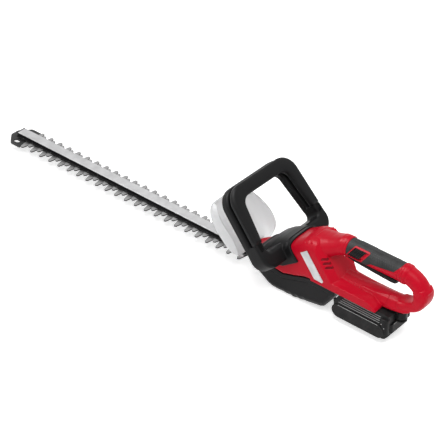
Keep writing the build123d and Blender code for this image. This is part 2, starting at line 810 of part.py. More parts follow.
def loop_bar(v0, v1, n0, n1):
    """A stretch of the loop between two heights and two depths, with rounded edges."""
    window = Pos(0, (v0 + v1) / 2) * Rectangle(400, v1 - v0)
    bar = Pos(0, 0, n0) * extrude(loop_face() & window, amount=n1 - n0)
    rows = [e for e in bar.edges() if abs(e.center().Z - n0) < 0.01 or abs(e.center().Z - n1) < 0.01]
    rows = [e for e in rows if min(abs(e.center().Y - v0), abs(e.center().Y - v1)) > 0.01]
    return fillet(rows, min(bar_edge, loop_leg_low / 5))


saddle_outline = [(-236, 84), (-204, 63), (-186, 58), (-150, 58), (-138, 72), (-150, 90), (-170, 110), (-204, 116),
                  (-219, 104)]


def front_handle():
    """Fixed front bar, the handle's lower curve and the saddle over the body, in one moulding."""
    frame = in_handle(loop_bar(-300, 300, -handle_depth, front_bar_rear))
    frame += in_handle(loop_bar(-300, seam_v, -handle_depth, 0))
    saddle = body_core(-saddle_wall) & side_plate(area(*saddle_outline), -50, 50)
    frame += saddle
    frame -= body_core(0)
    for side in (-1, 1):
        y = side * loop_half_at(lever_pin_v)
        half = tongue_half + free_gap
        frame -= handle_block(y - half, y + half, seam_v - lever_tongue - free_gap, seam_v + 1,
                              -rear_bar_depth, 0.5)
        frame -= lever_pin_hole(y, lever_pin_radius + seat_gap)
    y = loop_half_at(switch_v)
    frame -= handle_block(y - switch_half - seat_gap, y + switch_half + seat_gap, switch_v - switch_length / 2,
                          switch_v + switch_length / 2 + seat_gap, -22, -22 + switch_height)
    return frame


def lever_pin_hole(y, radius):
    half = lever_pin_length / 2
    spot = handle_plane.from_local_coords((0, lever_pin_v, -rear_bar_depth / 2))
    return rod_y(radius, y - half, y + half, spot.X, spot.Z)


def switch_lever():
    """Rear bar of the front handle: the second-hand switch, on a pin in each leg."""
    bar = in_handle(loop_bar(seam_v + seam_gap, 300, -rear_bar_depth, 0))
    for side in (-1, 1):
        y = side * loop_half_at(lever_pin_v)
        bar += handle_block(y - tongue_half, y + tongue_half, seam_v - lever_tongue, seam_v + seam_gap + 1,
                            -rear_bar_depth / 2 - tongue_depth / 2, -rear_bar_depth / 2 + tongue_depth / 2)
        bar -= lever_pin_hole(y, lever_pin_radius + pin_gap)
    return bar


def lever_pins():
    return Compound(children=[lever_pin_hole(side * loop_half_at(lever_pin_v), lever_pin_radius)
                              for side in (-1, 1)])


def handle_switch():
    y = loop_half_at(switch_v)
    return handle_block(y - switch_half, y + switch_half, switch_v - switch_length / 2 + seat_gap,
                        switch_v + switch_length / 2, -22 + seat_gap, -22 + switch_height)


# ---------------------------------------------------------------- guard
guard_front = [(-107, 35), (-100, 41), (-79, 59), (-65, 73), (-56, 88), (-53, 102), (-55, 116)]
guard_back = [(-72, 105), (-97, 86), (-113, 73), (-120, 62), (-121, 35)]


def guard():
    """Shield with two swept wings, and a foot that meets the body's front."""
    outer = side_plate(area(*guard_front, *guard_back), -guard_half_width, guard_half_width)
    inner_front = [(x - 1.35 * guard_wall, z + 0.2 * guard_wall) for x, z in guard_front]
    inner_half = guard_half_width - guard_wall
    hollow = area((inner_front[0][0] - 6, 20), *inner_front, (-60, 140), (-200, 140), (-200, 20))
    shield = outer - side_plate(hollow, -inner_half, inner_half)
    foot = block(body_front_x + seat_gap, -90, -guard_foot_half, guard_foot_half, guard_front[0][1], body_top[0][1])
    foot &= side_plate(area(*guard_front, (-140, 116), (-140, guard_front[0][1])), -60, 60)
    shield += foot
    for side in (-1, 1):
        shield -= rod_x(guard_screw_radius + seat_gap, body_front_x, -80, side * guard_screw_y, guard_screw_z)
        shield -= rod_x(guard_screw_head + seat_gap, body_front_x + 8, -60, side * guard_screw_y, guard_screw_z)
    return shield


def guard_screws():
    return Compound(children=[
        rod_x(guard_screw_radius, body_front_x - 6, body_front_x + 8, side * guard_screw_y, guard_screw_z)
        + rod_x(guard_screw_head, body_front_x + 8, body_front_x + 10.4, side * guard_screw_y, guard_screw_z)
        for side in (-1, 1)])


# ---------------------------------------------------------------- grip, window and lock-off
def soft_grip():
    tube = tube_x(grip_radius, core_radius + seat_gap, grip_rear_x + seat_gap, grip_front_x - seat_gap)
    tube -= side_plate(offset(grip_lower_region(), seat_gap), -30, 30)
    tube -= side_plate(window_face(window_rim + seat_gap), -30, 30)
    tube -= block(trigger_slot_rear - 6, 0, -trigger_slot_half, trigger_slot_half, 90, grip_z - 8)
    return tube


def lock_bezels():
    ring = side_plate(window_face(window_rim), 6.5, 30) - side_plate(window_face(0), 0, 40)
    return mirrored(ring & tube_x(grip_radius + 0.6, core_radius - wall, grip_rear_x, grip_front_x + 6))


def lock_off_slider():
    """Ribbed thumb pads in both windows, joined by a bar through the grip."""
    length = window_length - slider_travel - 2 * slide_gap
    face = offset(window_face(0, length + slide_gap, slide_gap), -slide_gap)
    pad = side_plate(face, 8.0, 30) & tube_x(grip_radius - 1.6, 9.0, grip_rear_x, grip_front_x + 8)
    for i in range(4):
        x = window_x - 4.0 - i * 4.2
        rib = side_plate(window_face(0, slider_rib, window_x - x + 1.0), 8.0, 30)
        pad += rib & face_slab(face) & tube_x(grip_radius - 0.4, 9.0, grip_rear_x, grip_front_x + 8)
    bar_x = window_x - 6.0
    return mirrored(pad) + block(bar_x - 3, bar_x + 3, -12, 12, 134, 138)


def face_slab(face):
    return side_plate(face, 8.0, 30)


def trigger():
    front = trigger_pin_x + 5.0
    face = outline([(front, trigger_pin_z), (front, trigger_front_z + 4), (front - 7, trigger_front_z),
                    (trigger_rear_x + 6, trigger_rear_z), (trigger_rear_x, trigger_rear_z + 3),
                    (trigger_rear_x, trigger_back_z), (trigger_rear_x + 24, trigger_back_z),
                    (trigger_pin_x - 6, trigger_pin_z + 4), (trigger_pin_x + 1, trigger_pin_z + 4.6)])
    lever = side_plate(face, -trigger_half_width, trigger_half_width)
    return lever - rod_y(trigger_pin_radius + pin_gap, -20, 20, trigger_pin_x, trigger_pin_z)


def trigger_pin():
    return rod_y(trigger_pin_radius, -trigger_pin_half, trigger_pin_half, trigger_pin_x, trigger_pin_z)


def trigger_spring():
    low = trigger_back_z + seat_gap
    return rod_z(3.0, low, rib_z - seat_gap, rib_x) - rod_z(2.0, low, rib_z, rib_x)


def trigger_switch():
    return block(switch_x - switch_length / 2, switch_x + switch_length / 2, -switch_half, switch_half,
                 switch_z, switch_z + switch_height)


def control_board():
    xs = [x for x, z in board_places]
    zs = [z for x, z in board_places]
    board = block(min(xs) - 5, max(xs) + 5, board_y, board_y + board_thickness, min(zs) - 5, max(zs) + 5)
    board += block(min(xs) + 6, min(xs) + 22, board_y - 9, board_y, min(zs) + 2, max(zs) - 2)
    return board + rod_y(5, board_y - 12, board_y, max(xs) - 10, (min(zs) + max(zs)) / 2)


# ---------------------------------------------------------------- battery
battery_split_z = battery_panel_top_z + 1.0


def battery_envelope(inset):
    """The case: ends rounded, upper sides drawn in towards the foot."""
    front, rear = battery_front_x - 2 - inset, battery_rear_x + inset
    low, top = battery_low_z + inset, battery_top_z - inset
    side = area((front, low + 9), (front - 3, low + 3), (front - 9, low), (rear + 3, low), (rear, low + 3),
                (rear, top), (front - 8, top), (front, battery_split_z - inset))
    half, high = battery_case_half - inset, battery_top_half - inset
    face = area((-half, low), (half, low), (half, battery_split_z), (high, top), (-high, top),
                (-half, battery_split_z))
    plan = area((front, -half), (front, half), (rear, half), (rear, -half))
    plan = fillet(plan.vertices().group_by(Axis.X)[0], battery_corner - inset)
    case = side_plate(side, -60, 60) & extrude(Plane.YZ * face, amount=600, both=True)
    return case & flat_plate(plan, 0, 100)


foot_front_x = battery_front_x - 10.0
foot_rear_x = foot_front_x - foot_length
foot_low_z = skirt_low_z - foot_drop
channel_rear_x = foot_rear_x - 11.0


def battery_channel(grow):
    flange_top = foot_low_z + foot_flange
    flange = block(channel_rear_x - grow, battery_front_x + 20, -foot_half_width - free_gap - grow,
                   foot_half_width + free_gap + grow, foot_low_z - free_gap - grow, flange_top + free_gap + grow)
    neck_part = block(channel_rear_x - grow, battery_front_x + 20, -foot_neck_half - free_gap - grow,
                      foot_neck_half + free_gap + grow, foot_low_z, battery_top_z + 5)
    return flange + neck_part


def battery_base():
    lower = block(-600, 0, -60, 60, 0, battery_split_z)
    return (battery_envelope(0) - battery_envelope(battery_wall)) & lower


def battery_lid():
    """Upper half of the case, with the channel for the foot and the latch's pocket and shelf."""
    upper = block(-600, 0, -60, 60, battery_split_z + seat_gap, 90)
    outer = battery_envelope(0) & upper
    lid = outer - (battery_envelope(battery_wall) - battery_channel(battery_wall))
    lid += outer & latch_shape(battery_wall, latch_floor - latch_shelf, battery_top_z)
    lid += latch_shape(0, battery_split_z + seat_gap, latch_floor)
    return lid - battery_channel(0) - latch_shape(slide_gap, latch_floor, 90)


latch_floor = battery_split_z + seat_gap + latch_shelf


def latch_shape(grow, low, high):
    """The latch seen from above: a tongue with a round tip behind the case."""
    tip = latch_tip_x + latch_half
    shape = block(tip, latch_front_x + grow, -latch_half - grow, latch_half + grow, low, high)
    return shape + rod_z(latch_half + grow, low, high, tip)


def battery_latch():
    cap = latch_shape(0, latch_floor + latch_travel + slide_gap, battery_top_z + latch_rise)
    return chamfer(cap.edges().group_by(Axis.Z)[-1], 1.0)


def battery_panels():
    middle = ((battery_front_x + battery_panel_rear_x) / 2, (battery_low_z + battery_panel_top_z) / 2)
    face = Pos(*middle) * SlotOverall(battery_front_x - battery_panel_rear_x, battery_panel_top_z - battery_low_z)
    return mirrored(side_plate(face, battery_case_half + seat_gap, battery_half_width))


def battery_cells():
    z = battery_low_z + battery_wall + seat_gap + cell_radius
    first = battery_front_x - 2 - battery_wall - seat_gap - cell_radius - 2.1
    return Compound(children=[rod_y(cell_radius, -cell_length / 2, cell_length / 2, first - i * cell_pitch, z)
                              for i in range(cell_count)])


def battery_foot():
    """The tool's foot, which the battery slides onto."""
    top = skirt_top_z - wall - seat_gap
    foot = block(foot_rear_x, foot_front_x, -foot_neck_half, foot_neck_half, foot_low_z, top)
    foot += block(foot_rear_x, foot_front_x, -foot_half_width, foot_half_width, foot_low_z, foot_low_z + foot_flange)
    inner = skirt_half_width - wall - seat_gap
    return foot + block(skirt_rear_x + wall + seat_gap, foot_front_x, -inner, inner, skirt_low_z + 0.5,
                        skirt_low_z + 4)


def terminal_blades():
    return Compound(children=[block(foot_rear_x - 9, foot_rear_x - seat_gap, y - 0.4, y + 0.4,
                                    foot_low_z + 1, foot_low_z + 8) for y in (-8, 0, 8)])


# ---------------------------------------------------------------- every node
red = housing()
nodes = {
    "lower_blade": blade(long_tooth_reach, first_tooth_x, long_count, lower_blade_low, lower_blade_top),
    "upper_blade": blade(short_tooth_reach, first_tooth_x - tooth_pitch / 2, long_count - 1,
                         upper_blade_low, upper_blade_top),
    "support_bar": support_bar(),
    "guide_rail": guide_rail(),
    "blade_bolts": blade_bolts(),
    "tip_protector": tip_protector(),
    "tip_screws": tip_screws(),
    "drive_gear": drive_gear(),
    "gear_pin": gear_pin(),
    "pinion": pinion(),
    "gear_case_lower": gear_case_lower(),
    "gear_case_upper": gear_case_upper(),
    "case_screws": case_screws(),
    "motor_can": motor_can(),
    "motor_magnets": motor_magnets(),
    "motor_bushes": motor_bushes(),
    "motor_rotor": motor_rotor(),
    "cooling_fan": cooling_fan(),
    "motor_screws": motor_screws(),
    "housing_left": half_of(red, 1),
    "housing_right": half_of(red, -1),
    "shell_screws": shell_screws(),
    "badges": badges(),
    "lower_cover": lower_cover(),
    "cover_screws": cover_screws(),
    "front_handle": front_handle(),
    "switch_lever": switch_lever(),
    "lever_pins": lever_pins(),
    "handle_switch": handle_switch(),
    "guard": guard(),
    "guard_screws": guard_screws(),
    "grip_left": half_of(soft_grip(), 1),
    "grip_right": half_of(soft_grip(), -1),
    "lock_bezels": lock_bezels(),
    "lock_off_slider": lock_off_slider(),
    "trigger": trigger(),
    "trigger_pin": trigger_pin(),
    "trigger_spring": trigger_spring(),
    "trigger_switch": trigger_switch(),
    "control_board": control_board(),
    "battery_base": battery_base(),
    "battery_lid": battery_lid(),
    "battery_panels": battery_panels(),
    "battery_latch": battery_latch(),
    "battery_cells": battery_cells(),
    "battery_foot": battery_foot(),
    "terminal_blades": terminal_blades(),
}
for name, shape in nodes.items():
    save(name, shape)
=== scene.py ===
import bpy, bmesh, math
from mathutils import Matrix, Vector


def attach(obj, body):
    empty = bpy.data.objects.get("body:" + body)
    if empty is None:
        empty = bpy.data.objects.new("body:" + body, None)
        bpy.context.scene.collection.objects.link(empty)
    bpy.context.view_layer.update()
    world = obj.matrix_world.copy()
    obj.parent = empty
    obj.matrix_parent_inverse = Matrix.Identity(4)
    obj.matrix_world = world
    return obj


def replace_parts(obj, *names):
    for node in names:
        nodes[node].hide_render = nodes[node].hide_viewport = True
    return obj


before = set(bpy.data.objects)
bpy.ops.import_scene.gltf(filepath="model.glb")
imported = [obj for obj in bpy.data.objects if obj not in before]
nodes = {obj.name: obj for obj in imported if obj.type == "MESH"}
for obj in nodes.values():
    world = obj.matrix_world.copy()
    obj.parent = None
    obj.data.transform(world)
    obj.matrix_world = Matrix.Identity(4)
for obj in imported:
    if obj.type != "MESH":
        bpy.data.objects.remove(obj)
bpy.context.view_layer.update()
print("frame loaded:", len(nodes), "nodes")

# Sizes below are in millimetres, in the part's frame; newPiece turns them into metres.
mm = 0.001
axisX, axisY, axisZ = (1, 0, 0), (0, 1, 0), (0, 0, 1)


# mesh helpers
def addObject(name, data):
    item = bpy.data.objects.new(name, data)
    bpy.context.scene.collection.objects.link(item)
    return item


def newPiece(name, verts, faces):
    mesh = bpy.data.meshes.new(name)
    mesh.from_pydata([tuple(c * mm for c in v) for v in verts], [], faces)
    bm = bmesh.new()
    bm.from_mesh(mesh)
    bmesh.ops.recalc_face_normals(bm, faces=bm.faces)
    bm.to_mesh(mesh)
    bm.free()
    return addObject(name, mesh)


def loft(name, rings, closed=False):
    # rings of equal length, joined side by side; closed joins the last to the first instead of capping the ends
    count = len(rings[0])
    verts = [p for ring in rings for p in ring]
    faces = []
    for i in range(len(rings) if closed else len(rings) - 1):
        j = (i + 1) % len(rings)
        for k in range(count):
            m = (k + 1) % count
            faces.append((i * count + k, i * count + m, j * count + m, j * count + k))
    if not closed:
        faces.append(tuple(range(count)))
        faces.append(tuple((len(rings) - 1) * count + k for k in range(count)))
    return newPiece(name, verts, faces)


def roundCorners(points, radii, steps=6):
    # a closed outline with its corners rounded, all by one radius or each by its own
    out = []
    n = len(points)
    if not isinstance(radii, list):
        radii = [radii] * n
    for i, p in enumerate(points):
        p = Vector(p)
        a, b = Vector(points[i - 1]) - p, Vector(points[(i + 1) % n]) - p
        room = min(a.length, b.length) * 0.49
        a.normalize()
        b.normalize()
        half = a.angle(b) / 2
        if radii[i] <= 0 or half < 0.01 or half > 1.56:
            out.append(tuple(p))
            continue
        cut = min(radii[i] / math.tan(half), room)
        r = cut * math.tan(half)
        centre = p + (a + b).normalized() * (r / math.sin(half))
        start, end = p + a * cut - centre, p + b * cut - centre
        for k in range(steps + 1):
            t = k / steps
            out.append(tuple(centre + (start * (1 - t) + end * t).normalized() * r))
    return out


def prism(name, points, y0, y1):
    # an outline drawn in x and z, pulled across from y0 to y1
    return loft(name, [[(x, y, z) for x, z in points] for y in (y0, y1)])


def flatForm(name, plan, low, high):
    # an outline drawn in x and y, raised from low to high
    return loft(name, [[(x, y, z) for x, y in plan] for z in (low, high)])


def beam(name, half, low, high, x0, x1):
    # a square bar along x
    return loft(name, [[(x, -half, low), (x, half, low), (x, half, high), (x, -half, high)] for x in (x0, x1)])


def superRing(centre, right, up, a, b, power, count):
    # a rounded ring: power 2 is an ellipse, higher is squarer
    ring = []
    for k in range(count):
        t = 2 * math.pi * k / count
        c, s = math.cos(t), math.sin(t)
        x = math.copysign(abs(c) ** (2 / power), c) * a
        y = math.copysign(abs(s) ** (2 / power), s) * b
        ring.append(tuple(Vector(centre) + Vector(right) * x + Vector(up) * y))
    return ring


def rodAcross(name, x, z, radius, y0, y1, count=24):
    return loft(name, [superRing((x, y, z), axisX, axisZ, radius, radius, 2, count) for y in (y0, y1)])


def tubeAlong(name, path, wide, deep, power, count):
    # a tube along a path in the x-z plane, with a half width across and a half depth in the plane at each point
    rings = []
    for i, p in enumerate(path):
        before, after = Vector(path[max(i - 1, 0)]), Vector(path[min(i + 1, len(path) - 1)])
        along = (after - before).normalized()
        rings.append(superRing(p, axisY, (-along.z, 0, along.x), wide[i], deep[i], power, count))
    return loft(name, rings)


def barAlong(name, start, end, radius, count=10):
    # a thin round bar with eased ends
    a, b = Vector(start), Vector(end)
    along = (b - a).normalized()
    right = along.cross(Vector(axisZ)).normalized()
    up = right.cross(along)
    return loft(name, [superRing(a.lerp(b, t), right, up, r, r, 2, count)
                       for t, r in ((0, radius * 0.4), (0.006, radius), (0.994, radius), (1, radius * 0.4))])


def smoothPath(points, steps=8):
    # Catmull-Rom through the points
    pts = [Vector(p) for p in points]
    pts = [pts[0] * 2 - pts[1]] + pts + [pts[-1] * 2 - pts[-2]]
    out = []
    for i in range(1, len(pts) - 2):
        p0, p1, p2, p3 = pts[i - 1:i + 3]
        for k in range(steps):
            t = k / steps
            out.append(0.5 * (2 * p1 + (p2 - p0) * t + (2 * p0 - 5 * p1 + 4 * p2 - p3) * t * t
                              + (3 * p1 - p0 - 3 * p2 + p3) * t ** 3))
    return out + [pts[-2]]


def bake(piece):
    # applies every modifier on the piece
    bpy.context.view_layer.update()
    graph = bpy.context.evaluated_depsgraph_get()
    mesh = bpy.data.meshes.new_from_object(piece.evaluated_get(graph))
    old = piece.data
    piece.modifiers.clear()
    piece.data = mesh
    bpy.data.meshes.remove(old)
    return piece


def dropPiece(piece):
    mesh = piece.data
    bpy.data.objects.remove(piece)
    bpy.data.meshes.remove(mesh)


def carve(piece, cutter, how="DIFFERENCE", keep=False):
    # the cutter goes into the boolean and is then dropped, unless it is kept for another cut
    mod = piece.modifiers.new("cut", "BOOLEAN")
    mod.operation = how
    mod.solver = "EXACT"
    mod.object = cutter
    bake(piece)
    if not keep:
        dropPiece(cutter)
    return piece


def cutBy(piece, point, normal):
    # keeps what lies behind the plane, and closes the cut
    bm = bmesh.new()
    bm.from_mesh(piece.data)
    cut = bmesh.ops.bisect_plane(bm, geom=bm.verts[:] + bm.edges[:] + bm.faces[:], plane_co=Vector(point) * mm,
                                 plane_no=normal, clear_outer=True)
    bmesh.ops.holes_fill(bm, edges=[e for e in cut["geom_cut"] if isinstance(e, bmesh.types.BMEdge)])
    bmesh.ops.recalc_face_normals(bm, faces=bm.faces)
    bm.to_mesh(piece.data)
    bm.free()


def gather(name, pieces):
    # several pieces in one mesh, so that one boolean or one skin takes them all
    bm = bmesh.new()
    for piece in pieces:
        bm.from_mesh(piece.data)
        dropPiece(piece)
    mesh = bpy.data.meshes.new(name)
    bm.to_mesh(mesh)
    bm.free()
    return addObject(name, mesh)


def fuse(name, parts, voxel, rounds):
    # joins closed forms into one skin and softens it, as a moulding's corners are
    piece = gather(name, parts)
    mod = piece.modifiers.new("skin", "REMESH")
    mod.mode = "VOXEL"
    mod.voxel_size = voxel * mm
    mod.use_smooth_shade = True
    soft = piece.modifiers.new("soften", "SMOOTH")
    soft.factor = 0.5
    soft.iterations = rounds
    return bake(piece)


def softEdges(piece, width, angle):
    mod = piece.modifiers.new("edges", "BEVEL")
    mod.width = width * mm
    mod.segments = 2
    mod.limit_method = "ANGLE"
    mod.angle_limit = math.radians(angle)


def finishPiece(piece, material, body, bevel=0.0, angle=35, smooth=True):
    if bevel:
        softEdges(piece, bevel, angle)
    if smooth:
        for p in piece.data.polygons:
            p.use_smooth = True
        if bevel:
            piece.modifiers.new("shade", "WEIGHTED_NORMAL")
    piece.data.materials.clear()
    piece.data.materials.append(material)
    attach(piece, body)
    return piece


# materials
def newGroup(name, inputs, outputs):
    group = bpy.data.node_groups.new(name, "ShaderNodeTree")
    for label, kind, value in inputs:
        socket = group.interface.new_socket(label, in_out="INPUT", socket_type=kind)
        socket.default_value = value
    for label, kind in outputs:
        group.interface.new_socket(label, in_out="OUTPUT", socket_type=kind)
    return group, group.nodes.new("NodeGroupInput"), group.nodes.new("NodeGroupOutput")


def feed(tree, socket, value):
    # a fixed value, or a link from another node's output
    if isinstance(value, bpy.types.NodeSocket):
        tree.links.new(value, socket)
    else:
        socket.default_value = value


def useGroup(tree, group, **values):
    node = tree.nodes.new("ShaderNodeGroup")
    node.node_tree = group
    for label, value in values.items():
        feed(tree, node.inputs[label], value)
    return node


def mathNode(tree, how, a, b):
    node = tree.nodes.new("ShaderNodeMath")
    node.operation = how
    feed(tree, node.inputs[0], a)
    feed(tree, node.inputs[1], b)
    return node.outputs[0]


def noiseNode(tree, scale, detail):
    coord = tree.nodes.new("ShaderNodeTexCoord")
    noise = tree.nodes.new("ShaderNodeTexNoise")
    noise.inputs["Detail"].default_value = detail
    tree.links.new(coord.outputs["Object"], noise.inputs["Vector"])
    feed(tree, noise.inputs["Scale"], scale)
    return noise.outputs["Fac"]


def rangeNode(tree, value, low, high, outLow, outHigh):
    node = tree.nodes.new("ShaderNodeMapRange")
    for label, v in (("Value", value), ("From Min", low), ("From Max", high), ("To Min", outLow), ("To Max", outHigh)):
        feed(tree, node.inputs[label], v)
    return node.outputs["Result"]


def mixColour(tree, factor, a, b):
    node = tree.nodes.new("ShaderNodeMix")
    node.data_type = "RGBA"
    for place, v in ((0, factor), (6, a), (7, b)):
        feed(tree, node.inputs[place], v)
    return node.outputs[2]


def coordAxes(tree, kind):
    # x, y and z of the place or the normal in the piece's own frame
    coord = tree.nodes.new("ShaderNodeTexCoord")
    split = tree.nodes.new("ShaderNodeSeparateXYZ")
    tree.links.new(coord.outputs[kind], split.inputs[0])
    return split.outputs


def makeGrain():
    # the fine pebble of a moulded surface
    group, start, end = newGroup("mouldedGrain", [("Scale", "NodeSocketFloat", 900.0)], [("Height", "NodeSocketFloat")])
    fine = noiseNode(group, start.outputs["Scale"], 2.0)
    wide = noiseNode(group, mathNode(group, "MULTIPLY", start.outputs["Scale"], 0.35), 1.0)
    group.links.new(mathNode(group, "ADD", fine, mathNode(group, "MULTIPLY", wide, 0.5)), end.inputs["Height"])
    return group


def makeWear():
    # lighter rubbed corners, broken up by noise
    group, start, end = newGroup("edgeWear", [
        ("Base", "NodeSocketColor", (0.5, 0.5, 0.5, 1)), ("Edge", "NodeSocketColor", (0.8, 0.8, 0.8, 1)),
        ("Amount", "NodeSocketFloat", 0.3), ("Scale", "NodeSocketFloat", 60.0)], [("Color", "NodeSocketColor")])
    shape = group.nodes.new("ShaderNodeNewGeometry")
    corner = rangeNode(group, shape.outputs["Pointiness"], 0.51, 0.60, 0.0, 1.0)
    broken = rangeNode(group, noiseNode(group, start.outputs["Scale"], 4.0), 0.35, 0.65, 0.3, 1.0)
    mask = mathNode(group, "MULTIPLY", mathNode(group, "MULTIPLY", corner, broken), start.outputs["Amount"])
    group.links.new(mixColour(group, mask, start.outputs["Base"], start.outputs["Edge"]), end.inputs["Color"])
    return group


def makeTone():
    # slow change of tone and gloss over a surface
    group, start, end = newGroup("toneDrift", [
        ("Base", "NodeSocketColor", (0.5, 0.5, 0.5, 1)), ("Drift", "NodeSocketFloat", 0.15),
        ("Gloss", "NodeSocketFloat", 0.4), ("Scale", "NodeSocketFloat", 18.0)],
        [("Color", "NodeSocketColor"), ("Roughness", "NodeSocketFloat")])
    slow = noiseNode(group, start.outputs["Scale"], 3.0)
    swing = mathNode(group, "MULTIPLY", mathNode(group, "SUBTRACT", slow, 0.5), start.outputs["Drift"])
    level = mathNode(group, "ADD", swing, 1.0)
    tint = group.nodes.new("ShaderNodeVectorMath")
    tint.operation = "SCALE"
    group.links.new(start.outputs["Base"], tint.inputs[0])
    group.links.new(level, tint.inputs["Scale"])
    group.links.new(tint.outputs[0], end.inputs["Color"])
    group.links.new(mathNode(group, "MULTIPLY", start.outputs["Gloss"], level), end.inputs["Roughness"])
    return group


def makeBrushed():
    # long fine lines from rolling or grinding, along x
    group, start, end = newGroup("brushedLines", [("Scale", "NodeSocketFloat", 600.0)], [("Lines", "NodeSocketFloat")])
    coord = group.nodes.new("ShaderNodeTexCoord")
    squeeze = group.nodes.new("ShaderNodeMapping")
    squeeze.inputs["Scale"].default_value = (0.03, 1.0, 1.0)
    noise = group.nodes.new("ShaderNodeTexNoise")
    noise.inputs["Detail"].default_value = 4.0
    group.links.new(coord.outputs["Object"], squeeze.inputs["Vector"])
    group.links.new(squeeze.outputs["Vector"], noise.inputs["Vector"])
    group.links.new(start.outputs["Scale"], noise.inputs["Scale"])
    group.links.new(noise.outputs["Fac"], end.inputs["Lines"])
    return group


grainGroup, wearGroup, toneGroup, brushedGroup = makeGrain(), makeWear(), makeTone(), makeBrushed()

# what a look has where it doesn't say otherwise; depth is in metres
plainLook = {"drift": 0.12, "driftScale": 18.0, "wear": 0.25, "wearScale": 60.0, "metal": 0.0, "specular": 0.5,
             "grain": 900.0, "bump": 0.2, "depth": 0.0002, "edgeGain": 1.6, "edgeLift": 0.04,
             # the range of normals over which painted shade comes in on sloping faces
             "flankRange": (0.80, 0.95)}


def newMaterial(name):
    material = bpy.data.materials.new(name)
    material.use_nodes = True
    return material, material.node_tree, material.node_tree.nodes["Principled BSDF"]


def addTone(tree, shader, look):
    tone = useGroup(tree, toneGroup, Base=(*look["color"], 1), Drift=look["drift"], Gloss=look["rough"],
                    Scale=look["driftScale"])
    tree.links.new(tone.outputs["Roughness"], shader.inputs["Roughness"])
    return tone.outputs["Color"]


def addBump(tree, shader, look):
    bump = tree.nodes.new("ShaderNodeBump")
    bump.inputs["Distance"].default_value = look["depth"]
    bump.inputs["Strength"].default_value = look["bump"]
    if "brushed" in look:
        height = useGroup(tree, brushedGroup, Scale=look["brushed"]).outputs["Lines"]
    else:
        height = useGroup(tree, grainGroup, Scale=look["grain"]).outputs["Height"]
    tree.links.new(height, bump.inputs["Height"])
    tree.links.new(bump.outputs["Normal"], shader.inputs["Normal"])


def surface(name, look):
    look = {**plainLook, **look}
    material, tree, shader = newMaterial(name)
    edge = look.get("edge", tuple(min(1, c * look["edgeGain"] + look["edgeLift"]) for c in look["color"]))
    wear = useGroup(tree, wearGroup, Base=addTone(tree, shader, look), Edge=(*edge, 1), Amount=look["wear"],
                    Scale=look["wearScale"])
    colour = wear.outputs["Color"]
    if "flank" in look:
        # painted shade: faces that don't look straight up, as a ground tooth's bevels, are coloured darker to stand in
        # for their shade
        side = rangeNode(tree, coordAxes(tree, "Normal")["Z"], *look["flankRange"], 1.0, 0.0)
        colour = mixColour(tree, side, colour, (*look["flank"], 1))
    tree.links.new(colour, shader.inputs["Base Color"])
    shader.inputs["Metallic"].default_value = look["metal"]
    shader.inputs["Specular IOR Level"].default_value = look["specular"]
    addBump(tree, shader, look)
    return material


